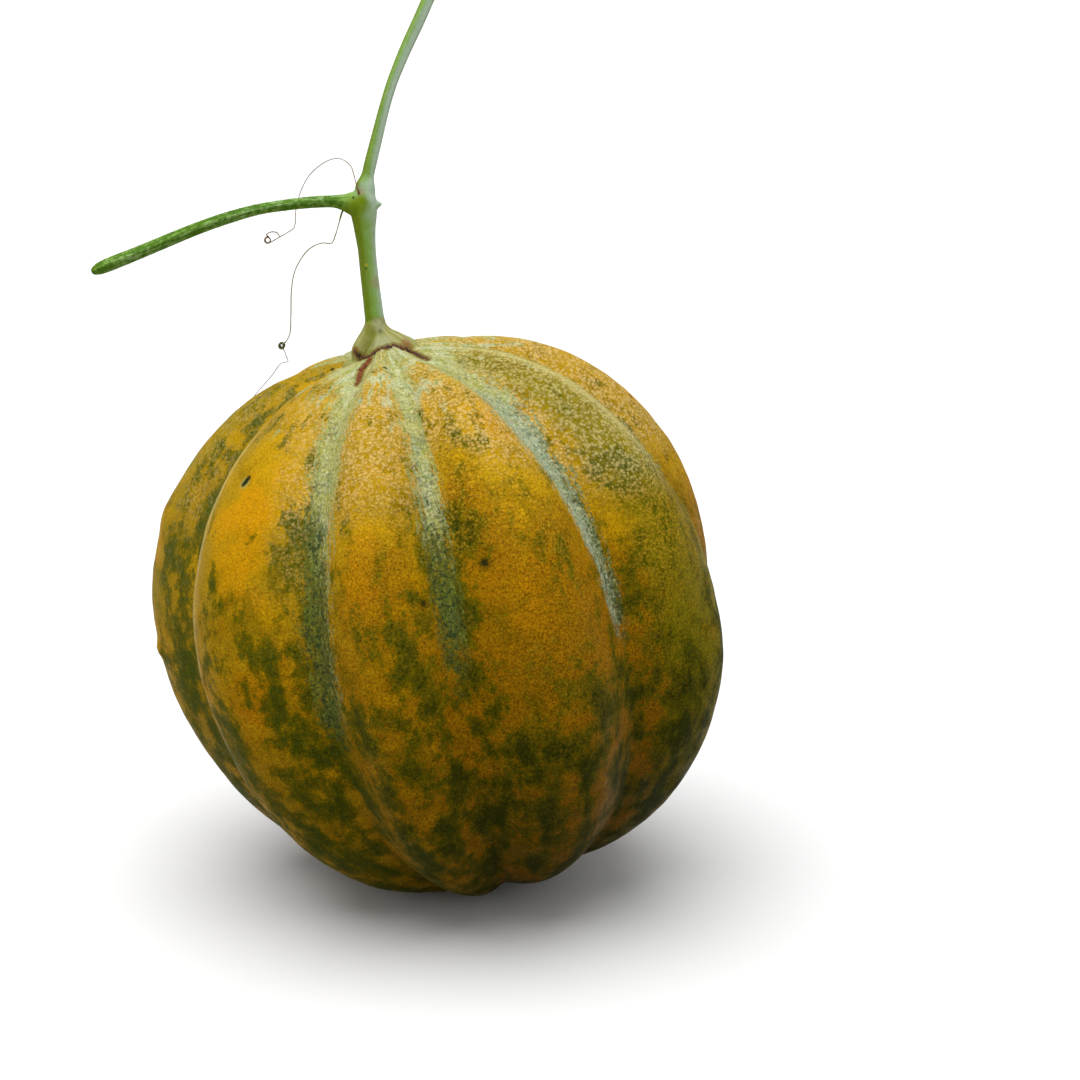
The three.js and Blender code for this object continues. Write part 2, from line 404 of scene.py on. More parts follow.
class Effects:
    """Patterns that several finishes share, each a node group that is built once."""

    def __init__(self) -> None:
        """Builds the groups."""
        self.streaks = self._streaks()
        self.flecks = self._flecks()

    @staticmethod
    def _group(
        name: str, inputs: dict[str, str], output: str
    ) -> tuple[bpy.types.NodeTree, Recipe, dict[str, Socket]]:
        """Starts a node group.

        Args:
            name: The group's name.
            inputs: Its inputs' names and socket types.
            output: The name of its one output, a value.

        Returns:
            The group, a recipe in it, and the sockets that its inputs give.
        """
        tree = bpy.data.node_groups.new(name, "ShaderNodeTree")
        for key, kind in inputs.items():
            tree.interface.new_socket(key, in_out="INPUT", socket_type=kind)
        tree.interface.new_socket(output, in_out="OUTPUT", socket_type="NodeSocketFloat")
        recipe = Recipe(tree)
        given = recipe.node("NodeGroupInput")
        return tree, recipe, {key: given.outputs[key] for key in inputs}

    def _streaks(self) -> bpy.types.NodeTree:
        """Makes streaks that run along what grows, as a pattern around 0.5."""
        inputs = {"Flow": "NodeSocketVector", "Width": "NodeSocketFloat", "Length": "NodeSocketFloat"}
        tree, recipe, given = self._group("growth streaks", inputs, "Pattern")
        parts = recipe.node("ShaderNodeSeparateXYZ", {0: given["Flow"]}).outputs
        feeds = {
            0: recipe.math("DIVIDE", parts[0], given["Width"]),
            1: recipe.math("DIVIDE", parts[1], given["Width"]),
            2: recipe.math("DIVIDE", parts[2], given["Length"]),
        }
        stretched = recipe.node("ShaderNodeCombineXYZ", feeds).outputs[0]
        pattern = recipe.noise(stretched, 1.0, detail=3.0, rough=0.6)
        recipe.node("NodeGroupOutput", {"Pattern": pattern})
        return tree

    def _flecks(self) -> bpy.types.NodeTree:
        """Makes small flecks with soft edges, as a mask."""
        inputs = {"Place": "NodeSocketVector", "Size": "NodeSocketFloat", "Level": "NodeSocketFloat"}
        tree, recipe, given = self._group("fine flecks", inputs, "Mask")
        scale = recipe.math("DIVIDE", 1.0, given["Size"])
        feeds = {"Vector": given["Place"], "Scale": scale, "Detail": 1.5}
        pattern = recipe.node("ShaderNodeTexNoise", feeds).outputs[0]
        mask = recipe.step(pattern, given["Level"], recipe.plus(given["Level"], 0.07))
        recipe.node("NodeGroupOutput", {"Mask": mask})
        return tree

    def put_streaks(self, recipe: Recipe, flow: Feed, width: float, length: float) -> Socket:
        """Places the streaks in a material.

        Args:
            recipe: The material's recipe.
            flow: The way round as a cosine and a sine, and the way along.
            width: How wide a streak is, in the flow's measure.
            length: How long it is.

        Returns:
            The pattern.
        """
        feeds = {"Flow": flow, "Width": width, "Length": length}
        return recipe.node("ShaderNodeGroup", feeds, node_tree=self.streaks).outputs[0]

    def put_flecks(self, recipe: Recipe, where: Feed, size: float, level: float) -> Socket:
        """Places the flecks in a material.

        Args:
            recipe: The material's recipe.
            where: The place on the object.
            size: How large a fleck is.
            level: How rare they are, 0.5 for half of the surface and 0.65 for few.

        Returns:
            The mask.
        """
        feeds = {"Place": where, "Size": size, "Level": level}
        return recipe.node("ShaderNodeGroup", feeds, node_tree=self.flecks).outputs[0]


@dataclass(frozen=True)
class Finish:
    """What every finish has in common.

    Attributes:
        name: The material's name.
        sheen: How much of a soft rim light it shows.
        gloss: The strength of its reflection.
    """

    name: str = "plain"
    sheen: float = 0.0
    gloss: float = 0.5

    def start(self) -> tuple[bpy.types.Material, Recipe, bpy.types.Node]:
        """Starts the material.

        Returns:
            The material, a recipe in it, and its surface shader.
        """
        material = bpy.data.materials.new(self.name)
        material.use_nodes = True
        material.node_tree.nodes.clear()
        recipe = Recipe(material.node_tree)
        shader = recipe.node("ShaderNodeBsdfPrincipled")
        shader.inputs["Specular IOR Level"].default_value = self.gloss
        shader.inputs["Sheen Weight"].default_value = self.sheen
        shader.inputs["Sheen Roughness"].default_value = 0.45
        recipe.node("ShaderNodeOutputMaterial", {"Surface": shader.outputs[0]})
        return material, recipe, shader

    @staticmethod
    def surface(
        recipe: Recipe, shader: bpy.types.Node, colour: Feed, rough: Feed, height: Feed, relief: float
    ) -> None:
        """Connects what changes over the surface.

        Args:
            recipe: The material's recipe.
            shader: Its surface shader.
            colour: The base colour.
            rough: The roughness.
            height: The fine relief, as a share of its height.
            relief: The relief's height in metres.
        """
        bump = recipe.node("ShaderNodeBump", {"Height": height, "Distance": relief, "Strength": 1.0})
        links = {"Base Color": colour, "Roughness": rough, "Normal": bump.outputs[0]}
        for key, feed in links.items():
            recipe.tree.links.new(feed, shader.inputs[key])


class PatchKind(Enum):
    """What a patch of skin does."""

    ORANGE = "orange"
    GREEN = "green"
    BROWN = "brown"
    NET = "net"
    BUMP = "bump"


@dataclass(frozen=True)
class Patch:
    """A soft patch on the skin.

    Attributes:
        kind: What it does.
        down: Degrees from the stalk end to its middle.
        way_round: Degrees from +X towards +Y to its middle.
        height: Its half height in degrees.
        width: Its half width in degrees.
        amount: How strong it is, or a bump's height in metres. Below 0 it takes away.
    """

    kind: PatchKind
    down: float
    way_round: float
    height: float
    width: float
    amount: float

    @staticmethod
    def several(kind: PatchKind, *rows: tuple[float, ...]) -> tuple["Patch", ...]:
        """Makes several patches of one kind."""
        return tuple(Patch(kind, *row) for row in rows)

    def strength(self, theta: Array, phi: Array) -> Array:
        """Works out how strong the patch is at each place.

        Args:
            theta: Angles down from the stalk end.
            phi: Angles round.

        Returns:
            The strength.
        """
        aside = turn_from(phi, math.radians(self.way_round)) * np.sin(theta)
        below = theta - math.radians(self.down)
        reach = (below / math.radians(self.height)) ** 2 + (aside / math.radians(self.width)) ** 2
        return self.amount * np.exp(-reach)


@dataclass(frozen=True)
class SheenLine:
    """A thin pale line down the turn of a rib: painted sheen, partly a real pale streak in the skin.

    Attributes:
        rib: The rib's number.
        middle: How far across the rib it lies, from 0 to 1.
        width: Its half width, as a share of the rib.
        start: Degrees down where it starts.
        end: Degrees down where it ends.
        rise: Half the degrees that it takes to start.
        fall: Half the degrees that it takes to end.
    """

    rib: int
    middle: float
    width: float
    start: float
    end: float
    rise: float = 7.0
    fall: float = 12.0


@dataclass(frozen=True)
class Groove:
    """A groove and the pale band in it.

    Attributes:
        angle: Degrees from +X towards +Y.
        turn: Degrees that it turns for each radian on its way down.
        fullness: How full the rib between it and the next one is.
        olive: How green that rib's ground is.
        netted: How much of the cream net that rib has.
        band: How strong the pale band is.
        chill: How blue the band is.
        dusk: How dark the band gets on its way down.
        fade: Degrees down where the band has run out.
        half_width: The band's half width high up.
        low_half_width: Its half width low down.
        shift: How far the band's middle lies to the right of the groove.
        dusk_from: Degrees down where the band starts to get dark.
        dusk_side: How much darker its right side is, or below 0 its left side.
    """

    angle: float
    turn: float
    fullness: float
    olive: float
    netted: float
    band: float
    chill: float
    dusk: float
    fade: float
    half_width: float = 0.0038
    low_half_width: float = 0.0034
    shift: float = 0.0
    dusk_from: float = 42.0
    dusk_side: float = 0.0


@dataclass(frozen=True)
class FruitForm:
    """The fruit's skin as a formula of the angles down from the stalk end and round its axis."""

    girth_radius: float = 0.095
    stalk_half: float = 0.087
    blossom_half: float = 0.101
    stalk_power: float = 2.0
    blossom_power: float = 2.1
    dimple_depth: float = 0.0047
    dimple_angle: float = 0.41
    lean: float = math.radians(12.6)
    centre: Place = (0.0016, -0.0013, 0.0993)
    turn_start: float = 1.2
    groove_depth: float = 0.13
    groove_fade: float = 1.2
    rib_roundness: float = 1.35
    grooves: tuple[Groove, ...] = (
        Groove(-161.0, 1.5, 0.83, 0.1, 0.3, 0.2, 0.0, 1.9, 104.0, 0.0050, 0.0050, -0.0042, 8.0),
        Groove(-112.5, -4.0, 0.99, 0.1, 0.75, 0.95, 0.25, 1.1, 112.0, 0.0060, 0.0058, 0.0006, 44.0, -0.6),
        Groove(-83.0, -4.5, 1.0, 0.3, 0.9, 0.9, 0.25, 1.9, 102.0, 0.0034, 0.0044, -0.0004, 52.0),
        # The D groove's band: its strong blue is partly painted sheen, and its darker right side is
        # painted shade.
        Groove(-47.5, 2.0, 1.08, 0.95, 1.0, 1.15, 0.85, 0.35, 104.0, 0.0058, 0.0034, -0.0004, 56.0, 0.5),
        Groove(-2.5, 4.5, 0.81, 0.1, 1.05, 1.2, 0.6, 0.5, 96.0, 0.0052, 0.0044, -0.0026),
        Groove(41.0, 0.0, 0.72, 0.2, 0.7, 0.95, 0.4, 0.8, 92.0),
        Groove(71.0, 0.0, 0.9, 0.35, 0.9, 1.0, 0.7, 0.5, 108.0),
        Groove(101.0, -1.0, 1.0, 0.7, 0.75, 0.9, 0.45, 0.9, 94.0),
        Groove(128.0, -2.0, 1.0, 0.25, 0.6, 1.0, 0.7, 0.4, 106.0),
        Groove(155.0, -4.0, 1.2, 0.55, 0.35, 0.8, 0.5, 0.7, 98.0),
    )

    def of_grooves(self, key: str, index: Array) -> Array:
        """Looks up one of the values of the grooves that have these numbers."""
        return np.array([getattr(groove, key) for groove in self.grooves])[index]

    def groove_angle(self, index: Array, theta: Array) -> Array:
        """Works out where grooves are, in radians round.

        Args:
            index: The grooves' numbers, which may run on into the next lap.
            theta: The angles down.

        Returns:
            The angles round.
        """
        count = len(self.grooves)
        angle = self.of_grooves("angle", index % count) + 360.0 * (index // count)
        turn = self.of_grooves("turn", index % count)
        return np.radians(angle + turn * (theta - self.turn_start))

    def radius(self, theta: Array, rib: Array, share: Array) -> Array:
        """Works out how far the skin is from the fruit's centre.

        Args:
            theta: The angles down.
            rib: The ribs' numbers.
            share: How far across the rib each place is, from 0 to 1.

        Returns:
            The distances.
        """
        sine, cosine = np.clip(np.sin(theta), 0.0, 1.0), np.cos(theta)
        half = np.where(cosine > 0.0, self.stalk_half, self.blossom_half)
        power = np.where(cosine > 0.0, self.stalk_power, self.blossom_power)
        round_part = (sine / self.girth_radius) ** power + (np.abs(cosine) / half) ** power
        bulge = self.of_grooves("fullness", rib) * np.sin(math.pi * share) ** self.rib_roundness
        dimple = self.dimple_depth * np.exp(-((theta / self.dimple_angle) ** 2))
        valley = self.groove_depth * sine**self.groove_fade * (1.0 - bulge)
        return round_part ** (-1.0 / power) * (1.0 - valley) - dimple

    def place(self, theta: Array, phi: Array, radius: Array) -> Array:
        """Gives points in the row frame.

        Args:
            theta: The angles down.
            phi: The angles round.
            radius: The distances from the fruit's centre.

        Returns:
            The points, as x, y, z in the last axis.
        """
        across, along = radius * np.sin(theta), radius * np.cos(theta)
        x, y = across * np.cos(phi), across * np.sin(phi)
        cosine, sine = math.cos(self.lean), math.sin(self.lean)
        turned = (x * cosine - along * sine, y, x * sine + along * cosine)
        return np.stack(turned, axis=-1) + np.array(self.centre)

    def on_skin(self, down: float, way_round: float, lift: float = 0.0) -> Array:
        """Gives one point on the skin.

        Args:
            down: Degrees from the stalk end.
            way_round: Degrees from +X towards +Y.
            lift: How far the point stands off the skin.

        Returns:
            The point in the row frame.
        """
        theta, phi = np.array([math.radians(down)]), np.array([math.radians(way_round)])
        return self.place(theta, phi, self.radius(theta, *self.rib_and_share(theta, phi)) + lift)[0]

    def rib_and_share(self, theta: Array, phi: Array) -> tuple[Array, Array]:
        """Finds which rib places lie on, and how far across it.

        Args:
            theta: The angles down.
            phi: The angles round.

        Returns:
            The ribs' numbers and the shares from 0 to 1.
        """
        bounds = self.groove_angle(np.arange(len(self.grooves) + 1)[None], theta[:, None])
        turned = bounds[:, 0] + (phi - bounds[:, 0]) % (2.0 * math.pi)
        rib = np.clip((bounds <= turned[:, None]).sum(axis=1) - 1, 0, len(self.grooves) - 1)
        rows = np.arange(len(theta))
        return rib, (turned - bounds[rows, rib]) / (bounds[rows, rib + 1] - bounds[rows, rib])

    def lift_off(self, points: Array) -> Array:
        """Works out how far points stand off the skin.

        Args:
            points: The points in the row frame.

        Returns:
            The distances, along the lines from the fruit's centre.
        """
        away = points - np.array(self.centre)
        across = away[:, 0] * math.cos(self.lean) + away[:, 2] * math.sin(self.lean)
        along = away[:, 2] * math.cos(self.lean) - away[:, 0] * math.sin(self.lean)
        theta = np.arctan2(np.hypot(across, away[:, 1]), along)
        phi = np.arctan2(away[:, 1], across)
        return np.linalg.norm(away, axis=1) - self.radius(theta, *self.rib_and_share(theta, phi))


@dataclass(frozen=True)
class MelonSkin(Finish):
    """Ochre skin with orange patches, green blotches, pale bands in the grooves and a fine cream net, with
    painted shade low down and thin lines of painted sheen on two ribs.
    """

    name: str = "melon_skin_netted"
    gloss: float = 0.03
    golden: Colour = paint(200, 156, 6)
    ochre: Colour = paint(178, 141, 14)
    brown: Colour = paint(166, 114, 4)
    olive: Colour = paint(136, 124, 10)
    orange: Colour = paint(214, 152, 6)
    rusty: Colour = paint(190, 128, 6)
    moss: Colour = paint(98, 96, 2)
    leaf_green: Colour = paint(70, 84, 16)
    deep_green: Colour = paint(46, 56, 4)
    cream: Colour = paint(231, 197, 124)
    net_sage: Colour = paint(206, 190, 122)
    pale_cream: Colour = paint(214, 210, 166)
    stain: Colour = paint(122, 100, 4)
    light_gold: Colour = paint(204, 160, 38)
    sage: Colour = paint(176, 181, 100)
    blue_sage: Colour = paint(158, 182, 156)
    frost: Colour = paint(188, 197, 150)
    leaf: Colour = paint(134, 144, 52)
    dusk: Colour = paint(86, 94, 18)
    dusk_speck: Colour = paint(44, 70, 44)
    # The pale colour of the painted sheen line on a rib's turn.
    rim: Colour = paint(214, 202, 132)
    scorched: Colour = paint(120, 92, 34)
    pit: Colour = paint(22, 38, 18)

    def material(self, effects: Effects, form: FruitForm) -> bpy.types.Material:
        """Builds the material.

        Args:
            effects: The shared patterns.
            form: The fruit, for the places of single marks.

        Returns:
            The material.
        """
        material, recipe, shader = self.start()
        where = recipe.place()
        flow = recipe.vector("flow")
        clouds = recipe.noise(where, 0.026, detail=3.0, rough=0.55)
        mottle = recipe.noise(recipe.shifted(where, 0.31), 0.0075, detail=4.0, rough=0.65)
        grain = recipe.noise(recipe.shifted(where, 0.77), 0.0011, detail=3.0, rough=0.7)
        net = self.net_mask(recipe, where, clouds, mottle)
        colour = self.ground(recipe, effects, flow, clouds, mottle)
        colour = self.blotches(recipe, effects, colour, flow, mottle, grain)
        net_colour = recipe.mix(recipe.step(recipe.value("olive"), 0.2, 0.8), self.cream, self.net_sage)
        net_colour = recipe.mix(recipe.step(recipe.value("brown"), 0.0, 0.4), net_colour, self.light_gold)
        colour = recipe.laid(colour, net, 0.68, net_colour)
        colour = self.bands(recipe, effects, colour, flow, where, mottle, grain)
        colour = self.crown(recipe, effects, colour, flow, net, mottle)
        colour = self.marks(recipe, colour, where, mottle, form)
        scorch = recipe.stirred(recipe.value("scorch"), (mottle, 0.8), (grain, 0.8))
        colour = recipe.laid(colour, recipe.step(scorch, 0.15, 0.95), 0.8, self.scorched)
        # Painted shade: the skin is darkened towards the bottom, less on the lit left side; the fine
        # speckle mixed in below is the skin's own.
        shade = recipe.minus(1.0, recipe.times(recipe.value("shade"), 0.56))
        speck = recipe.noise(recipe.shifted(where, 4.4), 0.00062, detail=1.0)
        speckle = recipe.stirred(0.0, (speck, 1.2), (grain, 0.8))
        strength = recipe.plus(0.75, recipe.value("brown"))
        shade = recipe.times(shade, recipe.plus(1.0, recipe.times(speckle, strength)))
        tint = recipe.node("ShaderNodeCombineXYZ", {0: shade, 1: shade, 2: shade}).outputs[0]
        colour = recipe.mix(1.0, colour, tint, blend_type="MULTIPLY")
        height = recipe.plus(recipe.times(net, 0.6), recipe.times(grain, 0.8))
        rough = recipe.step(recipe.plus(mottle, recipe.times(net, 0.3)), -0.7, 1.5)
        self.surface(recipe, shader, colour, rough, height, 0.0003)
        return material

    def ground(
        self, recipe: Recipe, effects: Effects, flow: Socket, clouds: Socket, mottle: Socket
    ) -> Socket:
        """Mixes the ochre, golden, brown, olive and orange ground.

        Args:
            recipe: The material's recipe.
            effects: The shared patterns.
            flow: The way round and down.
            clouds: The widest pattern.
            mottle: The middle pattern.

        Returns:
            The colour.
        """
        colour = recipe.mix(recipe.step(clouds, 0.4, 0.6), self.ochre, self.golden)
        brown = recipe.stirred(recipe.value("brown"), (mottle, 1.3))
        colour = recipe.mix(recipe.step(brown, 0.15, 0.95), colour, self.brown)
        olive = recipe.stirred(recipe.value("olive"), (mottle, 1.3))
        colour = recipe.mix(recipe.step(olive, 0.15, 1.0), colour, self.olive)
        orange = recipe.stirred(recipe.value("orange"), (clouds, 1.5), (mottle, 1.3))
        warm = recipe.mix(recipe.step(recipe.value("brown"), 0.15, 0.7), self.orange, self.rusty)
        colour = recipe.mix(recipe.step(orange, 0.1, 0.9), colour, warm)
        soft = recipe.noise(recipe.shifted(recipe.place(), 3.7), 0.013, detail=4.0, rough=0.55, bend=0.6)
        colour = recipe.laid(colour, recipe.step(soft, 0.5, 0.68), 0.6, self.stain)
        hatch = effects.put_streaks(recipe, recipe.shifted(flow, 5.0), 0.008, 0.04)
        high = recipe.step(recipe.value("brown"), 0.5, 0.0)
        pale = recipe.times(recipe.step(hatch, 0.5, 0.66), recipe.times(high, 0.3))
        return recipe.mix(pale, colour, self.light_gold)

    def blotches(
        self, recipe: Recipe, effects: Effects, colour: Socket, flow: Socket, mottle: Socket, grain: Socket
    ) -> Socket:
        """Adds the green blotches, which run along the ribs and have stippled edges.

        Args:
            recipe: The material's recipe.
            effects: The shared patterns.
            colour: The colour so far.
            flow: The way round and down.
            mottle: The middle pattern.
            grain: The finest pattern.

        Returns:
            The colour.
        """
        runs = effects.put_streaks(recipe, flow, 0.1, 0.19)
        level = recipe.stirred(runs, (mottle, 0.8), (grain, 0.45))
        level = recipe.plus(level, recipe.times(recipe.value("green"), 0.3))
        colour = recipe.laid(colour, recipe.step(level, 0.52, 0.66), 0.85, self.moss)
        deep = recipe.mix(recipe.step(recipe.value("brown"), 0.3, 1.0), self.leaf_green, self.deep_green)
        return recipe.laid(colour, recipe.step(level, 0.63, 0.8), 0.85, deep)

    @staticmethod
    def net_mask(recipe: Recipe, where: Socket, clouds: Socket, mottle: Socket) -> Socket:
        """Makes the fine net of winding lines and dots.

        Args:
            recipe: The material's recipe.
            where: The place on the object.
            clouds: The widest pattern.
            mottle: The middle pattern.

        Returns:
            The mask.
        """
        dot_spacing = 0.00112
        winding = recipe.noise(recipe.shifted(where, 1.3), 0.0017, detail=1.5, rough=0.5, bend=0.5)
        lines = recipe.line(winding, 0.5, 0.05, 0.01)
        cells = recipe.node("ShaderNodeTexVoronoi", {"Vector": where, "Scale": 1.0 / dot_spacing})
        grown = recipe.stirred(cells.outputs["Distance"], (winding, 1.2))
        dots = recipe.step(grown, 0.72, 0.2)
        pattern = recipe.math("MAXIMUM", recipe.times(lines, 0.45), dots)
        amount = recipe.stirred(recipe.value("net"), (mottle, 0.9), (clouds, -0.8))
        return recipe.times(pattern, recipe.step(amount, 0.0, 1.0))

    def bands(
        self,
        recipe: Recipe,
        effects: Effects,
        colour: Socket,
        flow: Socket,
        where: Socket,
        mottle: Socket,
        grain: Socket,
    ) -> Socket:
        """Adds the pale, frayed band along each groove and the thin line of painted sheen on a rib's turn.

        Args:
            recipe: The material's recipe.
            effects: The shared patterns.
            colour: The colour so far.
            flow: The way round and down.
            where: The place on the object.
            mottle: The middle pattern.
            grain: The finest pattern.

        Returns:
            The colour.
        """
        threads = effects.put_streaks(recipe, flow, 0.011, 0.075)
        fray = recipe.stirred(recipe.value("furrow"), (threads, 2.3), (mottle, 1.7), (grain, 2.2))
        inside = recipe.step(fray, 1.2, 0.65)
        strength = recipe.stirred(recipe.value("band"), (mottle, 1.6), (grain, 1.3), (threads, 1.0))
        mask = recipe.times(inside, recipe.step(strength, 0.25, 0.75))
        chill = recipe.stirred(recipe.value("chill"), (mottle, 2.0))
        dusk = recipe.stirred(recipe.value("dusk"), (threads, 1.8), (mottle, 1.5))
        body = recipe.mix(recipe.step(chill, 0.0, 0.8), self.sage, self.blue_sage)
        body = recipe.laid(body, recipe.step(dusk, 0.0, 0.8), 0.9, self.dusk)
        streak = recipe.times(recipe.step(threads, 0.5, 0.38), 0.6)
        body = recipe.mix(streak, body, self.leaf)
        pale = effects.put_flecks(recipe, recipe.shifted(where, 0.5), 0.001, 0.52)
        pale = recipe.times(pale, recipe.step(dusk, 1.3, 0.2))
        body = recipe.laid(body, pale, 0.42, self.pale_cream)
        dark = recipe.times(effects.put_flecks(recipe, where, 0.0013, 0.52), recipe.step(dusk, -0.5, 0.7))
        body = recipe.laid(body, dark, 0.8, self.dusk_speck)
        vein = recipe.line(threads, 0.54, 0.02, 0.005)
        body = recipe.laid(body, vein, recipe.step(dusk, 0.7, 0.0), self.pale_cream)
        colour = recipe.laid(colour, mask, 0.92, body)
        # Painted sheen: a thin pale line down the turn of a rib.
        line = recipe.times(recipe.value("rim"), recipe.step(threads, 0.3, 0.5))
        return recipe.laid(colour, line, 0.7, self.rim)

    def crown(
        self, recipe: Recipe, effects: Effects, colour: Socket, flow: Socket, net: Socket, mottle: Socket
    ) -> Socket:
        """Adds the pale, streaked skin round the stalk.

        Args:
            recipe: The material's recipe.
            effects: The shared patterns.
            colour: The colour so far.
            flow: The way round and down.
            net: The net's mask.
            mottle: The middle pattern.

        Returns:
            The colour.
        """
        wide = effects.put_streaks(recipe, recipe.shifted(flow, 1.7), 0.11, 0.16)
        fine = effects.put_streaks(recipe, recipe.shifted(flow, 3.1), 0.04, 0.07)
        reach = recipe.stirred(recipe.value("crown"), (wide, 1.2), (fine, 0.9), (mottle, 0.9))
        patches = recipe.stirred(wide, (mottle, 0.5), (fine, 0.4))
        body = recipe.mix(recipe.step(patches, 0.5, 0.38), self.sage, self.frost)
        body = recipe.mix(recipe.step(patches, 0.52, 0.64), body, self.golden)
        body = recipe.laid(body, recipe.step(fine, 0.47, 0.37), 0.7, self.leaf)
        vein = recipe.line(fine, 0.53, 0.04, 0.01)
        body = recipe.laid(body, vein, 0.7, self.pale_cream)
        body = recipe.laid(body, net, 0.6, self.pale_cream)
        return recipe.laid(colour, recipe.step(reach, 0.5, 0.16), 0.94, body)

    def marks(
        self, recipe: Recipe, colour: Socket, where: Socket, mottle: Socket, form: FruitForm
    ) -> Socket:
        """Adds the few single dark and bluish spots.

        Args:
            recipe: The material's recipe.
            colour: The colour so far.
            where: The place on the object.
            mottle: The middle pattern, for ragged edges.
            form: The fruit.

        Returns:
            The colour.
        """
        spots = (
            (48.0, -135.2, 0.0021, self.sage, 0.5),
            (46.9, -134.5, 0.0011, self.pit, 0.9),
            (47.6, -134.9, 0.0012, self.pit, 0.95),
            (48.3, -135.4, 0.0011, self.pit, 0.9),
            (71.8, -74.8, 0.0024, self.deep_green, 0.45),
            (71.7, -74.8, 0.0012, self.pit, 0.85),
            (76.4, -88.5, 0.0020, self.deep_green, 0.4),
            (76.4, -88.5, 0.0010, self.pit, 0.75),
            (24.9, -124.0, 0.0009, self.blue_sage, 0.8),
            (28.6, -99.8, 0.0009, self.blue_sage, 0.8),
            (12.5, -169.9, 0.0008, self.pit, 0.8),
            (15.6, -87.8, 0.0010, self.pit, 0.8),
            (64.0, 62.0, 0.0013, self.pit, 0.8),
            (58.0, 12.0, 0.0011, self.pit, 0.8),
        )
        for down, way_round, radius, spot_colour, amount in spots:
            centre = tuple(float(value) for value in form.on_skin(down, way_round))
            mask = recipe.spot(where, centre, radius, mottle, 0.7)
            colour = recipe.laid(colour, mask, amount, spot_colour)
        return colour


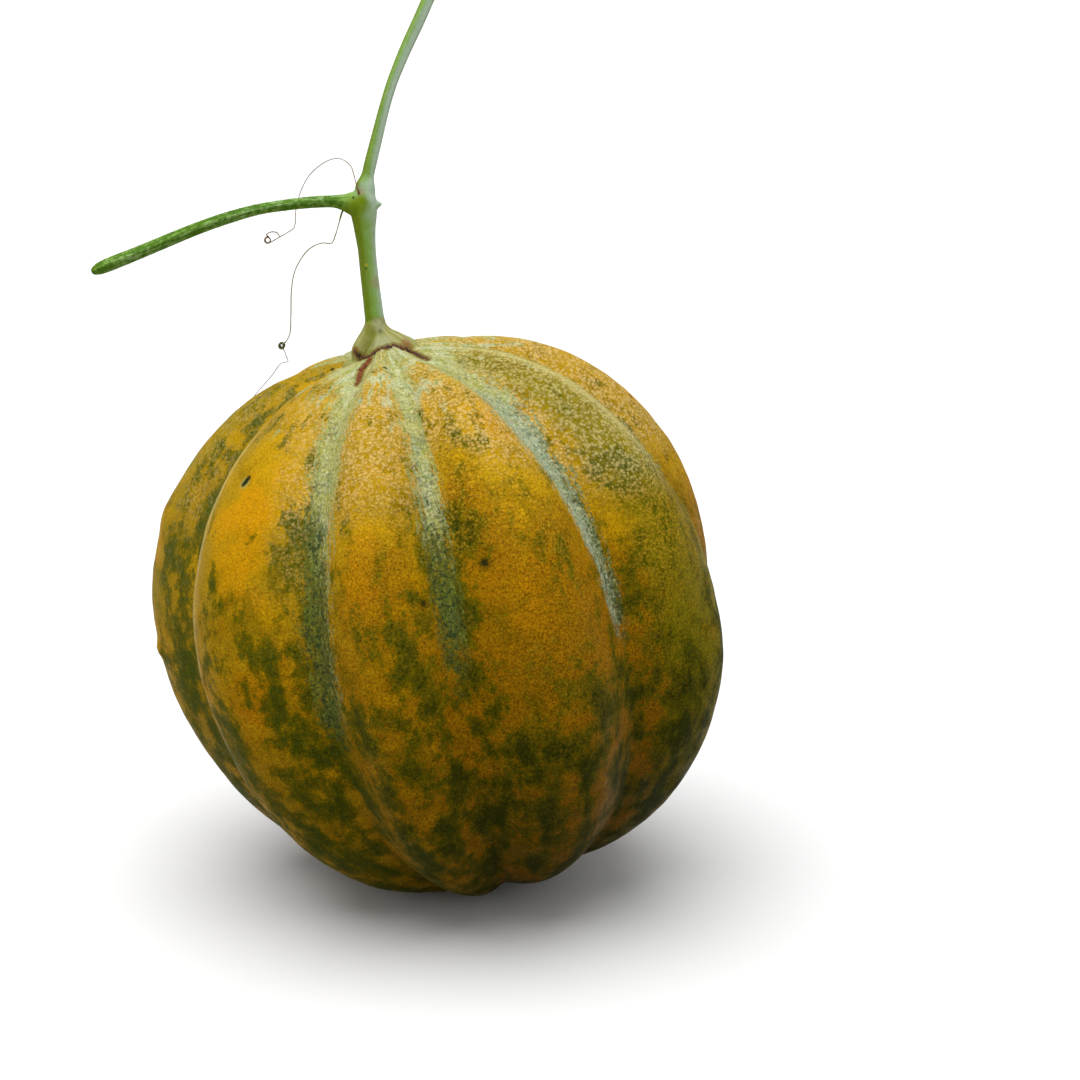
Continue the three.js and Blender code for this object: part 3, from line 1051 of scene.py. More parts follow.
@dataclass
class FruitBody:
    """The fruit with its ribs, fine lumps, crown ridges and blossom scar.

    A pair of numbers whose name ends in comes, sparse, turns, narrows, upper or lower says between
    which degrees down from the stalk end that look sets in.
    """

    form: FruitForm
    columns_per_rib: int = 48
    rows: int = 204
    row_crowding: float = 1.12
    lump_height: float = 0.0007
    lump_size: float = 0.024
    dent_height: float = 0.00016
    dent_size: float = 0.0055
    crown_ridge_height: float = 0.0004
    crown_ridge_end: float = 0.75
    collar_height: float = 0.0032
    collar_middle: float = math.radians(-84.0)
    collar_width: float = math.radians(42.0)
    collar_distance: float = 0.1
    collar_reach: float = 0.075
    flank_depth: float = 0.0050
    flank_middle: float = math.radians(-13.3)
    flank_width: float = math.radians(10.8)
    flank_turn: float = math.radians(-16.0)
    flank_top: tuple[float, float] = (0.14, 0.36)
    flank_bottom: tuple[float, float] = (2.18, 1.48)
    scar_radius: float = 0.0055
    scar_ring_height: float = 0.0007
    scar_depth: float = 0.0009
    # The lit side, where the painted shade and the brown tone are eased as painted light.
    lit_side: float = math.radians(-155.0)
    lit_width: float = math.radians(56.0)
    # Thin lines of painted sheen down the turns of two ribs.
    sheen_lines: tuple[SheenLine, ...] = (SheenLine(0, 0.27, 0.03, 33.0, 112.0), SheenLine(3, 0.50, 0.055, 16.0, 66.0))
    bumps: tuple[Patch, ...] = (
        Patch(PatchKind.BUMP, 61.0, -179.0, 4.0, 4.0, 0.0011),
        Patch(PatchKind.BUMP, 89.0, -178.0, 1.6, 1.6, 0.0012),
    )
    bare_side: float = math.radians(-172.0)
    bare_width: float = math.radians(22.0)
    band_end: float = 22.0
    band_narrows: tuple[float, float] = (36.0, 76.0)
    dusk_length: float = 32.0
    dusk_turns: tuple[float, float] = (30.0, 60.0)
    chill_comes: tuple[float, float] = (16.0, 60.0)
    brown_comes: tuple[float, float] = (44.0, 98.0)
    shade_comes: tuple[float, float] = (82.0, 146.0)
    net_upper: tuple[float, float] = (78.0, 40.0)
    net_lower: tuple[float, float] = (120.0, 74.0)
    green_comes: tuple[float, float] = (62.0, 128.0)
    green_sparse: tuple[float, float] = (64.0, 34.0)
    band_keys: tuple[str, ...] = (
        "band", "fade", "chill", "dusk", "half_width", "low_half_width", "shift", "dusk_from", "dusk_side"
    )
    patches: tuple[Patch, ...] = (
        *Patch.several(
            PatchKind.ORANGE,
            (56.0, -131.0, 12.0, 8.0, 0.75),
            (73.0, -131.0, 8.0, 6.0, 0.6),
            (92.0, -130.0, 10.0, 4.5, 0.85),
            (86.0, -121.0, 10.0, 4.0, 0.55),
            (46.0, -59.0, 7.0, 4.0, 0.5),
            (81.0, -70.0, 12.0, 9.0, 0.6),
            (77.0, -103.0, 10.0, 5.0, 0.5),
            (56.0, -97.0, 16.0, 6.0, 0.35),
            (54.0, -170.6, 8.0, 4.0, 0.5),
            (73.0, -171.0, 6.0, 4.0, 0.35),
            (60.0, 14.0, 20.0, 8.0, 0.3),
            (68.0, -178.0, 8.0, 4.0, 0.6),
            (88.0, -174.0, 7.0, 4.0, 0.5),
        ),
        *Patch.several(
            PatchKind.GREEN,
            (45.0, -166.0, 22.0, 3.5, 0.6),
            (80.0, -166.0, 26.0, 3.5, 0.1),
            (79.0, -124.5, 8.0, 5.0, 0.5),
            (98.0, -124.0, 9.0, 6.0, 0.35),
            (66.7, -173.0, 7.0, 3.0, 0.5),
            (84.8, -165.6, 12.0, 4.0, 0.5),
            (90.9, -96.0, 9.0, 5.0, 0.4),
            (75.0, -91.6, 6.0, 4.0, 0.45),
            (62.0, -76.0, 11.0, 3.5, 0.7),
            (62.7, -39.1, 10.0, 3.0, 0.5),
            (65.0, -33.5, 8.0, 2.5, 0.6),
            (54.0, -161.0, 16.0, 3.5, 0.6),
            (90.0, -162.0, 16.0, 3.0, 0.3),
            (66.0, -117.0, 13.0, 3.5, 0.7),
            (80.0, -83.0, 13.0, 4.0, 0.6),
            (57.0, -134.0, 11.0, 7.0, -0.8),
            (83.0, -71.0, 9.0, 8.0, -0.6),
            (52.0, -97.0, 16.0, 6.0, -0.4),
            (55.0, 18.0, 30.0, 10.0, -0.8),
            (44.0, -30.0, 16.0, 10.0, -0.35),
            (72.0, -122.0, 12.0, 5.0, -0.3),
        ),
        *Patch.several(
            PatchKind.NET,
            (52.0, 14.0, 30.0, 12.0, 0.7),
            (57.0, -133.0, 16.0, 9.0, -0.6),
            (50.0, -119.0, 26.0, 6.0, 0.5),
            (46.0, -55.0, 16.0, 9.0, 0.25),
            (64.0, -25.0, 22.0, 13.0, 0.55),
            (81.0, -72.0, 10.0, 8.0, -0.4),
        ),
        *Patch.several(
            PatchKind.BROWN,
            (58.0, 12.0, 26.0, 14.0, -0.4),
            (62.0, -28.0, 24.0, 13.0, -0.3),
            (60.0, -75.0, 14.0, 5.0, 0.75),
            (70.0, -96.0, 10.0, 8.0, 0.4),
            (80.0, -176.0, 28.0, 10.0, -0.4),
            (70.0, -60.0, 12.0, 9.0, 0.4),
        ),
    )

    def build(self, finish: MelonSkin, effects: Effects) -> bpy.types.Object:
        """Makes and dresses the fruit.

        Args:
            finish: The skin's finish.
            effects: The shared patterns.

        Returns:
            The object.
        """
        count = self.columns_per_rib * len(self.form.grooves)
        level = np.linspace(0.0, 1.0, self.rows)[1:-1, None] ** self.row_crowding
        theta = math.pi * level + np.zeros((1, count))
        column = np.arange(count)[None] + np.zeros((self.rows - 2, 1), int)
        rib, share = column // self.columns_per_rib, (column % self.columns_per_rib) / self.columns_per_rib
        before, after = self.form.groove_angle(rib, theta), self.form.groove_angle(rib + 1, theta)
        phi = before + share * (after - before)
        radius = self.form.radius(theta, rib, share)
        nearest = (rib + (share > 0.5)) % len(self.form.grooves)
        furrow = np.where(share > 0.5, share - 1.0, share) * (after - before) * radius * np.sin(theta)
        plain = self.form.place(theta, phi, radius)
        radius = radius + self.relief(theta, phi, plain)
        points = self.form.place(theta, phi, radius)
        values = self.tones(theta, phi, rib, share, nearest, furrow)
        parts = MeshParts()
        parts.add(*self.closed(points, values))
        skin = parts.build("melon_skin_ribbed")
        skin.data.materials.append(finish.material(effects, self.form))
        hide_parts("melon_fruit")
        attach(skin, BODY)
        return skin

    def relief(self, theta: Array, phi: Array, plain: Array) -> Array:
        """Works out the fine relief.

        Args:
            theta: The angles down.
            phi: The angles round.
            plain: The points without relief.

        Returns:
            How far each point moves out.
        """
        lumps = self.pattern(plain / self.lump_size) * self.lump_height
        dents = self.pattern(plain / self.dent_size + 7.0) * self.dent_height
        way = np.stack([np.cos(phi) * 9.0, np.sin(phi) * 9.0, theta * 1.6], axis=-1)
        ridges = self.pattern(way) + 0.5 * self.pattern(way * 2.7 + 3.0)
        fading = smooth_step(theta, self.crown_ridge_end, 0.25) * smooth_step(theta, 0.03, 0.12)
        collar = bell(turn_from(phi, self.collar_middle), self.collar_width)
        collar = collar * bell(theta - self.collar_distance, self.collar_reach)
        flank = bell(turn_from(phi, self.flank_middle + self.flank_turn * (theta - 1.0)), self.flank_width)
        flank = flank * smooth_step(theta, *self.flank_top) * smooth_step(theta, *self.flank_bottom)
        from_scar = (math.pi - theta) * self.form.blossom_half / self.scar_radius
        scar = self.scar_ring_height * bell(from_scar - 1.0, 0.3) - self.scar_depth * bell(from_scar, 0.7)
        form = self.collar_height * collar - self.flank_depth * flank
        for bump in self.bumps:
            form = form + bump.strength(theta, phi)
        return lumps + dents + ridges * fading * self.crown_ridge_height + form + scar

    @staticmethod
    def pattern(places: Array) -> Array:
        """Reads a smooth pattern between about -1 and 1 at each place."""
        flat = places.reshape(-1, 3)
        values = np.fromiter((noise.noise(Vector(place)) for place in flat), float, len(flat))
        return values.reshape(places.shape[:-1])

    def tones(
        self, theta: Array, phi: Array, rib: Array, share: Array, nearest: Array, furrow: Array
    ) -> dict[str, Array]:
        """Works out the values that the skin's finish reads.

        Args:
            theta: The angles down.
            phi: The angles round.
            rib: The ribs' numbers.
            share: How far across the rib each place is.
            nearest: The nearest groove's number.
            furrow: The distance to it, below 0 on its left.

        Returns:
            The values by name.
        """
        degrees = np.degrees(theta)
        own = {key: self.form.of_grooves(key, nearest) for key in self.band_keys}
        band = own["band"] * np.clip((own["fade"] - degrees) / self.band_end, 0.0, 1.0)
        narrowing = smooth_step(degrees, *self.band_narrows)
        half_width = own["half_width"] + (own["low_half_width"] - own["half_width"]) * narrowing
        aside = (furrow - own["shift"]) / half_width
        dusk = own["dusk"] * smooth_step(degrees, own["dusk_from"], own["dusk_from"] + self.dusk_length)
        one_sided = own["dusk_side"] * np.clip(aside, -1.0, 1.0) * smooth_step(degrees, *self.dusk_turns)
        # How much each place faces the lit left side, for painted light.
        facing_lit_side = bell(turn_from(phi, self.lit_side), self.lit_width)
        net_reach = 0.65 * smooth_step(degrees, *self.net_upper)
        net_reach = net_reach + 0.3 * smooth_step(degrees, *self.net_lower) + 0.12
        sparse = smooth_step(degrees, *self.green_sparse)
        side = smooth_step(share, 0.02, 0.3) * smooth_step(share, 0.98, 0.7)
        values = {
            "flow": np.stack([np.cos(phi), np.sin(phi), theta], axis=-1),
            "furrow": np.abs(aside),
            "band": band,
            "chill": own["chill"] * smooth_step(degrees, *self.chill_comes) * 1.2,
            "dusk": dusk + one_sided,
            "olive": self.form.of_grooves("olive", rib) * side,
            # Brown is the skin's own darker tone low down, lightened on the lit side as painted light;
            # shade is painted shade, darker towards the bottom.
            "brown": smooth_step(degrees, *self.brown_comes) * (1.0 - 0.55 * facing_lit_side),
            "shade": smooth_step(degrees, *self.shade_comes) * (1.0 - 0.8 * facing_lit_side),
            "net": self.form.of_grooves("netted", rib) * net_reach * (0.7 + 0.3 * side),
            "green": 0.5 * smooth_step(degrees, *self.green_comes) - 0.12 * sparse,
            "orange": np.zeros_like(theta),
            "rim": self.rim(theta, rib, share),
            "crown": theta + 0.3 * bell(turn_from(phi, self.bare_side), self.bare_width),
        }
        for patch in self.patches:
            values[patch.kind.value] = values[patch.kind.value] + patch.strength(theta, phi)
        return values

    def rim(self, theta: Array, rib: Array, share: Array) -> Array:
        """Marks the thin pale lines of painted sheen down the turns of two ribs.

        Args:
            theta: The angles down.
            rib: The ribs' numbers.
            share: How far across the rib each place is.

        Returns:
            How strong the line is.
        """
        degrees = np.degrees(theta)
        strength = np.zeros_like(theta)
        for line in self.sheen_lines:
            window = smooth_step(degrees, line.start - line.rise, line.start + line.rise)
            window = window * smooth_step(degrees, line.end + line.fall, line.end - line.fall)
            strength += np.where(rib == line.rib, bell(share - line.middle, line.width), 0.0) * window
        return strength

    def closed(
        self, points: Array, values: dict[str, Array]
    ) -> tuple[Array, list[tuple[int, ...]], dict[str, Array]]:
        """Closes the rows of points at both ends and sets the underside flat.

        Args:
            points: The points, row by row.
            values: The values, row by row.

        Returns:
            The vertices, the faces and the values for each vertex.
        """
        rows, count = points.shape[:2]
        ends = points[[0, -1]].mean(axis=1)
        vertices = np.concatenate([points.reshape(-1, 3), ends])
        vertices[:, 2] = np.maximum(vertices[:, 2], 0.0)
        flat = {}
        for name, block in values.items():
            both = block[[0, -1]].mean(axis=1)
            flat[name] = np.concatenate([block.reshape(rows * count, *block.shape[2:]), both])
        return vertices, tube_faces(rows, count, turned=True), flat


@dataclass(frozen=True)
class GreenStem(Finish):
    """Fresh green stem: sage at the foot, olive to bluish on the stalk as painted light and shade, darker
    on the left arm.
    """

    name: str = "green_stem_ridged"
    gloss: float = 0.08
    # Olive, fresh and bluish are also the shaded, middle and lit tones of the stalk's painted light.
    olive: Colour = paint(124, 148, 12)
    fresh: Colour = paint(144, 186, 88)
    bluish: Colour = paint(188, 212, 184)
    deep: Colour = paint(74, 122, 4)
    foot: Colour = paint(158, 157, 80)
    foot_pale: Colour = paint(184, 182, 126)
    node_yellow: Colour = paint(122, 150, 0)
    speck: Colour = paint(30, 52, 14)
    hem: Colour = paint(166, 166, 92)
    frost: Colour = paint(186, 192, 152)
    foot_olive: Colour = paint(134, 138, 40)
    cut: Colour = paint(196, 206, 140)
    bristle: Colour = paint(150, 160, 120)
    scorched: Colour = paint(122, 100, 44)
    rust: Colour = paint(134, 74, 32)
    scar: Colour = paint(170, 150, 112)
    bud_yellow: Colour = paint(196, 186, 60)
    amber: Colour = paint(170, 116, 30)

    def material(self, effects: Effects, node: Place) -> bpy.types.Material:
        """Builds the material.

        Args:
            effects: The shared patterns.
            node: The vine's node in the row frame.

        Returns:
            The material.
        """
        material, recipe, shader = self.start()
        where = recipe.place()
        flow = recipe.vector("flow")
        ribbed = recipe.value("ribbed")
        fibres = self.tamed(recipe, effects.put_streaks(recipe, flow, 0.35, 0.012), ribbed)
        veins = effects.put_streaks(recipe, recipe.shifted(flow, 2.1), 0.16, 0.02)
        veins = self.tamed(recipe, veins, ribbed)
        mottle = recipe.noise(where, 0.002, detail=3.0, rough=0.6)
        # Painted light and shade: olive where the stalk faces away from the light, fresh green and then a
        # bluish sheen where it faces the light on the right and above.
        lit_side_light = recipe.stirred(recipe.value("lit_side_light"), (fibres, 0.35), (mottle, 0.3))
        colour = recipe.mix(recipe.step(lit_side_light, 0.05, 0.6), self.olive, self.fresh)
        colour = recipe.mix(recipe.step(lit_side_light, 0.5, 0.95), colour, self.bluish)
        left = recipe.value("left_arm")
        deep = recipe.times(left, recipe.step(recipe.plus(fibres, mottle), 1.2, 0.88))
        colour = recipe.laid(colour, deep, 0.9, self.deep)
        colour = recipe.laid(colour, recipe.step(veins, 0.55, 0.68), 0.15, self.bluish)
        foot = recipe.value("foot")
        foot_colour = recipe.mix(recipe.step(veins, 0.42, 0.6), self.foot, self.foot_pale)
        foot_colour = recipe.laid(foot_colour, recipe.step(fibres, 0.48, 0.36), 0.6, self.olive)
        colour = recipe.mix(foot, colour, foot_colour)
        colour = recipe.mix(recipe.value("hem"), colour, self.hem)
        stains = (
            (0.0024, -0.0026, 0.0036, 0.0046, self.bluish, 0.7),
            (0.0030, -0.0032, -0.0006, 0.0040, self.bluish, 0.6),
            (-0.0012, -0.0042, 0.0, 0.0034, self.node_yellow, 0.9),
            (-0.0002, -0.0040, 0.0022, 0.0020, self.node_yellow, 0.8),
            (-0.0006, -0.0028, 0.0042, 0.0012, self.scar, 0.7),
            (-0.0031, -0.0035, 0.0025, 0.0005, self.speck, 0.9),
            (0.0006, -0.0040, -0.0190, 0.0005, self.bud_yellow, 0.8),
            (0.0006, -0.0041, -0.0201, 0.0004, self.speck, 0.7),
            (0.0037, -0.0038, -0.0246, 0.0022, self.scar, 0.5),
            (0.0020, -0.0067, -0.0395, 0.0026, self.foot_olive, 0.7),
            (0.0015, -0.0075, -0.0424, 0.0026, self.foot_olive, 0.55),
            (0.0004, -0.0086, -0.0452, 0.0024, self.foot_olive, 0.4),
            (0.0047, -0.0060, -0.0382, 0.0020, self.frost, 0.5),
            (0.0049, -0.0067, -0.0399, 0.0008, self.speck, 0.4),
            (0.0061, -0.0093, -0.0430, 0.0028, self.frost, 0.5),
            (-0.0033, -0.0086, -0.0460, 0.0016, self.amber, 0.9),
            (0.0133, -0.0085, -0.0431, 0.0018, self.rust, 0.6),
            (0.0143, -0.0098, -0.0445, 0.0018, self.rust, 0.6),
        )
        for x, y, z, radius, stain_colour, amount in stains:
            centre = (node[0] + x, node[1] + y, node[2] + z)
            stain = recipe.spot(where, centre, radius, mottle, 1.0)
            colour = recipe.laid(colour, stain, amount, stain_colour)
        scorch = recipe.step(recipe.stirred(recipe.value("scorch"), (mottle, 1.2)), 0.15, 0.95)
        colour = recipe.laid(colour, scorch, 0.75, self.scorched)
        specks = effects.put_flecks(recipe, where, 0.0006, 0.63)
        amount = recipe.times(specks, recipe.plus(recipe.times(left, 0.75), 0.15))
        colour = recipe.mix(amount, colour, self.speck)
        colour = recipe.mix(recipe.value("cut_end"), colour, self.cut)
        colour = recipe.mix(recipe.value("bristle"), colour, self.bristle)
        ribbing = recipe.times(veins, recipe.minus(1.0, recipe.times(foot, 0.75)))
        height = recipe.plus(ribbing, recipe.times(mottle, 0.6))
        rough = recipe.step(mottle, -0.6, 1.4)
        self.surface(recipe, shader, colour, rough, height, 0.0003)
        return material

    @staticmethod
    def tamed(recipe: Recipe, pattern: Socket, share: Socket) -> Socket:
        """Flattens a pattern to its middle where the share is 0."""
        return recipe.plus(recipe.times(recipe.minus(pattern, 0.5), share), 0.5)


@dataclass
class StalkAndVine:
    """The stalk with its spread foot, the node, the two arms and the bud, grown as one piece."""

    form: FruitForm
    node: Place = (-0.0225, 0.001, 0.227)
    stalk: tuple[RoutePlace, ...] = (
        (0.0069, -0.0029, -0.0510, 0.0140),
        (0.0065, -0.0030, -0.0474, 0.0114),
        (0.0056, -0.0030, -0.0446, 0.0076),
        (0.0044, -0.0029, -0.0420, 0.0050),
        (0.0036, -0.0028, -0.0396, 0.0037),
        (0.0031, -0.0025, -0.0368, 0.0032),
        (0.0026, -0.0022, -0.0324, 0.00305),
        (0.0015, -0.0014, -0.0224, 0.0029),
        (0.0008, -0.0009, -0.0140, 0.00295),
        (0.0003, -0.0004, -0.0080, 0.0035),
        (0.0, 0.0, -0.0020, 0.0043),
        (0.0, 0.0002, 0.0016, 0.0041),
        (0.0002, 0.0005, 0.0044, 0.0030),
    )
    upper_arm: tuple[RoutePlace, ...] = (
        (0.0, 0.0002, 0.0, 0.0034),
        (0.0006, 0.0010, 0.0056, 0.0030),
        (0.0013, 0.0016, 0.0086, 0.0021),
        (0.0023, 0.0025, 0.0129, 0.0020),
        (0.0042, 0.0045, 0.0203, 0.0019),
        (0.0068, 0.0070, 0.0302, 0.00175),
        (0.0091, 0.0095, 0.0375, 0.00175),
        (0.0118, 0.0120, 0.0442, 0.00185),
        (0.0146, 0.0145, 0.0504, 0.00195),
        (0.0178, 0.0170, 0.0571, 0.0020),
        (0.0219, 0.0205, 0.0663, 0.0020),
    )
    left_arm: tuple[RoutePlace, ...] = (
        (0.0005, 0.0001, 0.0, 0.0036),
        (-0.0042, -0.0008, 0.0003, 0.0034),
        (-0.0062, -0.0013, 0.0006, 0.0026),
        (-0.0091, -0.0020, 0.0010, 0.00195),
        (-0.0144, -0.0035, 0.0011, 0.0018),
        (-0.0237, -0.0060, 0.0005, 0.0017),
        (-0.0329, -0.0090, -0.0006, 0.00165),
        (-0.0421, -0.0120, -0.0028, 0.0018),
        (-0.0513, -0.0150, -0.0057, 0.00185),
        (-0.0604, -0.0180, -0.0091, 0.0019),
        (-0.0695, -0.0210, -0.0126, 0.00195),
        (-0.0785, -0.0240, -0.0159, 0.0020),
        (-0.0816, -0.0251, -0.0171, 0.0017),
        (-0.0834, -0.0258, -0.0178, 0.0009),
    )
    bud: tuple[RoutePlace, ...] = (
        (0.0024, -0.0003, -0.0006, 0.0023),
        (0.0042, -0.0005, -0.0001, 0.0013),
        (0.0057, -0.0008, 0.0001, 0.0005),
    )
    foot_lobe: tuple[RoutePlace, ...] = (
        (0.0030, -0.0034, -0.0385, 0.0031),
        (0.0018, -0.0040, -0.0418, 0.0034),
        (0.0002, -0.0050, -0.0445, 0.0035),
        (-0.0012, -0.0060, -0.0468, 0.0033),
        (-0.0013, -0.0064, -0.0488, 0.0030),
        (-0.0010, -0.0066, -0.0508, 0.0028),
    )
    sides: int = 28
    step: float = 0.0008
    foot_lobes: int = 5
    foot_lobe_depth: float = 0.11
    voxel: float = 0.00038
    smoothing: int = 9
    ridge_count: int = 5
    ridge_height: float = 0.00016
    bristle_count: int = 420
    bristle_length: float = 0.0006
    bristle_radius: float = 0.00009
    bristle_lean: float = 0.25
    bristle_share_elsewhere: float = 0.12
    seed: int = 11

    def build(self, finish: GreenStem, effects: Effects) -> bpy.types.Object:
        """Makes and dresses the stalk and vine.

        Args:
            finish: The stem's finish.
            effects: The shared patterns.

        Returns:
            The object.
        """
        routes = (self.stalk, self.upper_arm, self.left_arm, self.bud, self.foot_lobe)
        lines = [smooth_line(np.array(route), self.step) for route in routes]
        grown = MeshParts()
        for index, line in enumerate(lines):
            lobes = self.foot_lobes if index == 0 else 0
            grown.add_tube(line, self.sides, lobes, self.foot_lobe_depth)
        points, faces, normals = self.fused(grown)
        values, outward = self.tones(points, normals, lines)
        points = points + outward
        parts = MeshParts()
        parts.add(points + np.array(self.node), faces, values)
        self.add_bristles(parts, points + np.array(self.node), normals, values)
        stem = parts.build("stalk_and_vine_green")
        stem.data.materials.append(finish.material(effects, self.node))
        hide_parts("stalk_and_vine")
        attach(stem, BODY)
        return stem

    def fused(self, grown: MeshParts) -> tuple[Array, list[tuple[int, ...]], Array]:
        """Fuses the tubes into one smooth body.

        Args:
            grown: The tubes.

        Returns:
            The body's vertices, faces and vertex normals.
        """
        rough = grown.build("vine_rough")
        remesh = rough.modifiers.new("fuse", "REMESH")
        remesh.mode = "VOXEL"
        remesh.voxel_size = self.voxel
        smooth = rough.modifiers.new("smooth", "SMOOTH")
        smooth.factor = 0.5
        smooth.iterations = self.smoothing
        fused = rough.evaluated_get(bpy.context.evaluated_depsgraph_get()).to_mesh()
        points = np.zeros(len(fused.vertices) * 3, np.float32)
        normals = np.zeros_like(points)
        fused.vertices.foreach_get("co", points)
        fused.vertices.foreach_get("normal", normals)
        faces = [tuple(face.vertices) for face in fused.polygons]
        bpy.data.objects.remove(rough)
        return points.reshape(-1, 3).astype(float), faces, normals.reshape(-1, 3).astype(float)

    def tones(self, points: Array, normals: Array, lines: list[Array]) -> tuple[dict[str, Array], Array]:
        """Works out the ridges and the values that the finish reads.

        Args:
            points: The body's vertices.
            normals: Their normals.
            lines: The routes.

        Returns:
            The values by name, and how far each vertex moves.
        """
        samples = np.concatenate([line[:, :3] for line in lines])
        owner = np.concatenate([np.full(len(line), index) for index, line in enumerate(lines)])
        frames = [carried_frames(line[:, :3]) for line in lines]
        side = np.concatenate([frame[1] for frame in frames])
        up = np.concatenate([frame[2] for frame in frames])
        gaps = [np.linalg.norm(np.diff(line[:, :3], axis=0), axis=1) for line in lines]
        along = np.concatenate([np.concatenate([[0.0], np.cumsum(gap)]) for gap in gaps])
        radii = np.concatenate([line[:, 3] for line in lines])
        tree = point_tree(samples)
        nearest = np.array([tree.find(Vector(point))[1] for point in points])
        away = points - samples[nearest]
        angle = np.arctan2((away * up[nearest]).sum(axis=1), (away * side[nearest]).sum(axis=1))
        reach = np.linalg.norm(away, axis=1, keepdims=True)
        from_node = np.linalg.norm(points, axis=1)
        thin = smooth_step(radii[nearest], 0.0042, 0.0032) * smooth_step(from_node, 0.004, 0.009)
        tip_distance = np.where(owner[nearest] == 1, along[owner == 1].max() - along[nearest], 1.0)
        ridges = 1.0 - 2.0 * np.abs(np.sin(self.ridge_count * angle / 2.0 + 0.5))
        ridges = ridges * self.ridge_height * thin
        lower_left = 0.002 * smooth_step(points[:, 0], 0.0030, 0.0012)
        # Painted light: higher where the surface faces the light on the right and above, and higher up the
        # vine.
        lit_side_light = 0.4 + 0.52 * normals[:, 0] + 0.12 * normals[:, 2]
        values = {
            "flow": np.stack([np.cos(angle), np.sin(angle), along[nearest]], axis=1),
            "foot": smooth_step(points[:, 2] + lower_left, -0.0350, -0.0366),
            "ribbed": np.maximum(thin, smooth_step(points[:, 2], -0.012, -0.02)),
            "hem": smooth_step(self.form.lift_off(points + np.array(self.node)), 0.0034, 0.0012),
            "left_arm": smooth_step(points[:, 0], -0.0035, -0.0085),
            "lit_side_light": lit_side_light + 0.3 * smooth_step(points[:, 2], -0.004, 0.03),
            "cut_end": smooth_step(tip_distance, 0.0004, 0.0001),
            "bristle": np.zeros(len(points)),
            "along": along[nearest],
        }
        return values, away / np.maximum(reach, 1e-6) * ridges[:, None]

    def add_bristles(
        self, parts: MeshParts, points: Array, normals: Array, values: dict[str, Array]
    ) -> None:
        """Adds the short stiff hairs, most of them on the left arm.

        Args:
            parts: Where the hairs go.
            points: The body's vertices in the row frame.
            normals: Their normals.
            values: Their values.
        """
        draw = np.random.default_rng(self.seed)
        weight = self.bristle_share_elsewhere + values["left_arm"]
        weight = weight * (values["foot"] < 0.1) * (values["cut_end"] < 0.1)
        chosen = draw.choice(len(points), self.bristle_count, replace=False, p=weight / weight.sum())
        faces = [(0, 1, 3), (1, 2, 3), (2, 0, 3), (0, 2, 1)]
        for index in chosen:
            normal = normals[index] + draw.normal(0.0, self.bristle_lean, 3)
            normal /= np.linalg.norm(normal)
            side = np.array(Vector(normal).orthogonal().normalized())
            up = np.cross(normal, side)
            turn = np.array([0.0, 2.0, 4.0]) * math.pi / 3.0
            ring = np.cos(turn)[:, None] * side + np.sin(turn)[:, None] * up
            base = points[index] + self.bristle_radius * ring
            tip = points[index] + normal * self.bristle_length * draw.uniform(0.5, 1.3)
            corners = np.concatenate([base - normal * self.bristle_radius, [tip]])
            own = {name: np.repeat(block[index : index + 1], 4, axis=0) for name, block in values.items()}
            own["bristle"] = np.array([0.4, 0.4, 0.4, 1.0])
            parts.add(corners, faces, own)


@dataclass(frozen=True)
class DryThread(Finish):
    """A dry tendril that changes colour along its length.

    Attributes:
        root: The colour where it leaves the node.
        middle: The colour on its long run.
        curl: The colour of its curl.
        end: The colour of its end.
        curl_from: The share of its length where the curl's colour starts.
        curl_to: The share where it ends.
    """

    name: str = "dry_thread"
    gloss: float = 0.2
    root: Colour = paint(128, 104, 58)
    middle: Colour = paint(186, 178, 170)
    curl: Colour = paint(150, 108, 62)
    end: Colour = paint(160, 124, 84)
    curl_from: float = 0.72
    curl_to: float = 0.9

    def material(self, effects: Effects) -> bpy.types.Material:
        """Builds the material from the shared patterns."""
        material, recipe, shader = self.start()
        along = recipe.value("along")
        flow = recipe.vector("flow")
        grain = effects.put_streaks(recipe, flow, 0.9, 0.02)
        drift = recipe.plus(along, recipe.times(recipe.minus(grain, 0.5), 0.25))
        colour = recipe.mix(recipe.step(drift, 0.08, 0.22), self.root, self.middle)
        colour = recipe.mix(recipe.step(drift, self.curl_from, self.curl_from + 0.08), colour, self.curl)
        colour = recipe.mix(recipe.step(drift, self.curl_to, self.curl_to + 0.04), colour, self.end)
        dark = recipe.laid(colour, recipe.step(grain, 0.52, 0.38), 0.35, self.curl)
        self.surface(recipe, shader, dark, recipe.step(grain, -0.9, 1.1), grain, 0.0001)
        return material


@dataclass(frozen=True)
class Curl:
    """A tight curl seen from the front, which drifts backwards as it turns.

    Attributes:
        centre: Its middle.
        radius: Its radius.
        turns: How often it goes round.
        start: Where it starts, in degrees.
        drift: How far back it goes.
    """

    centre: Place
    radius: float
    turns: float
    start: float
    drift: float
    points_per_turn: int = 8

    def points(self) -> list[Place]:
        """Gives the curl's points in order."""
        count = round(self.turns * self.points_per_turn)
        found = []
        for i in range(count + 1):
            angle = math.radians(self.start) - 2.0 * math.pi * self.turns * i / count
            found.append(
                (
                    self.centre[0] + self.radius * math.cos(angle),
                    self.centre[1] + self.drift * (i / count - 0.5),
                    self.centre[2] + self.radius * math.sin(angle),
                )
            )
        return found


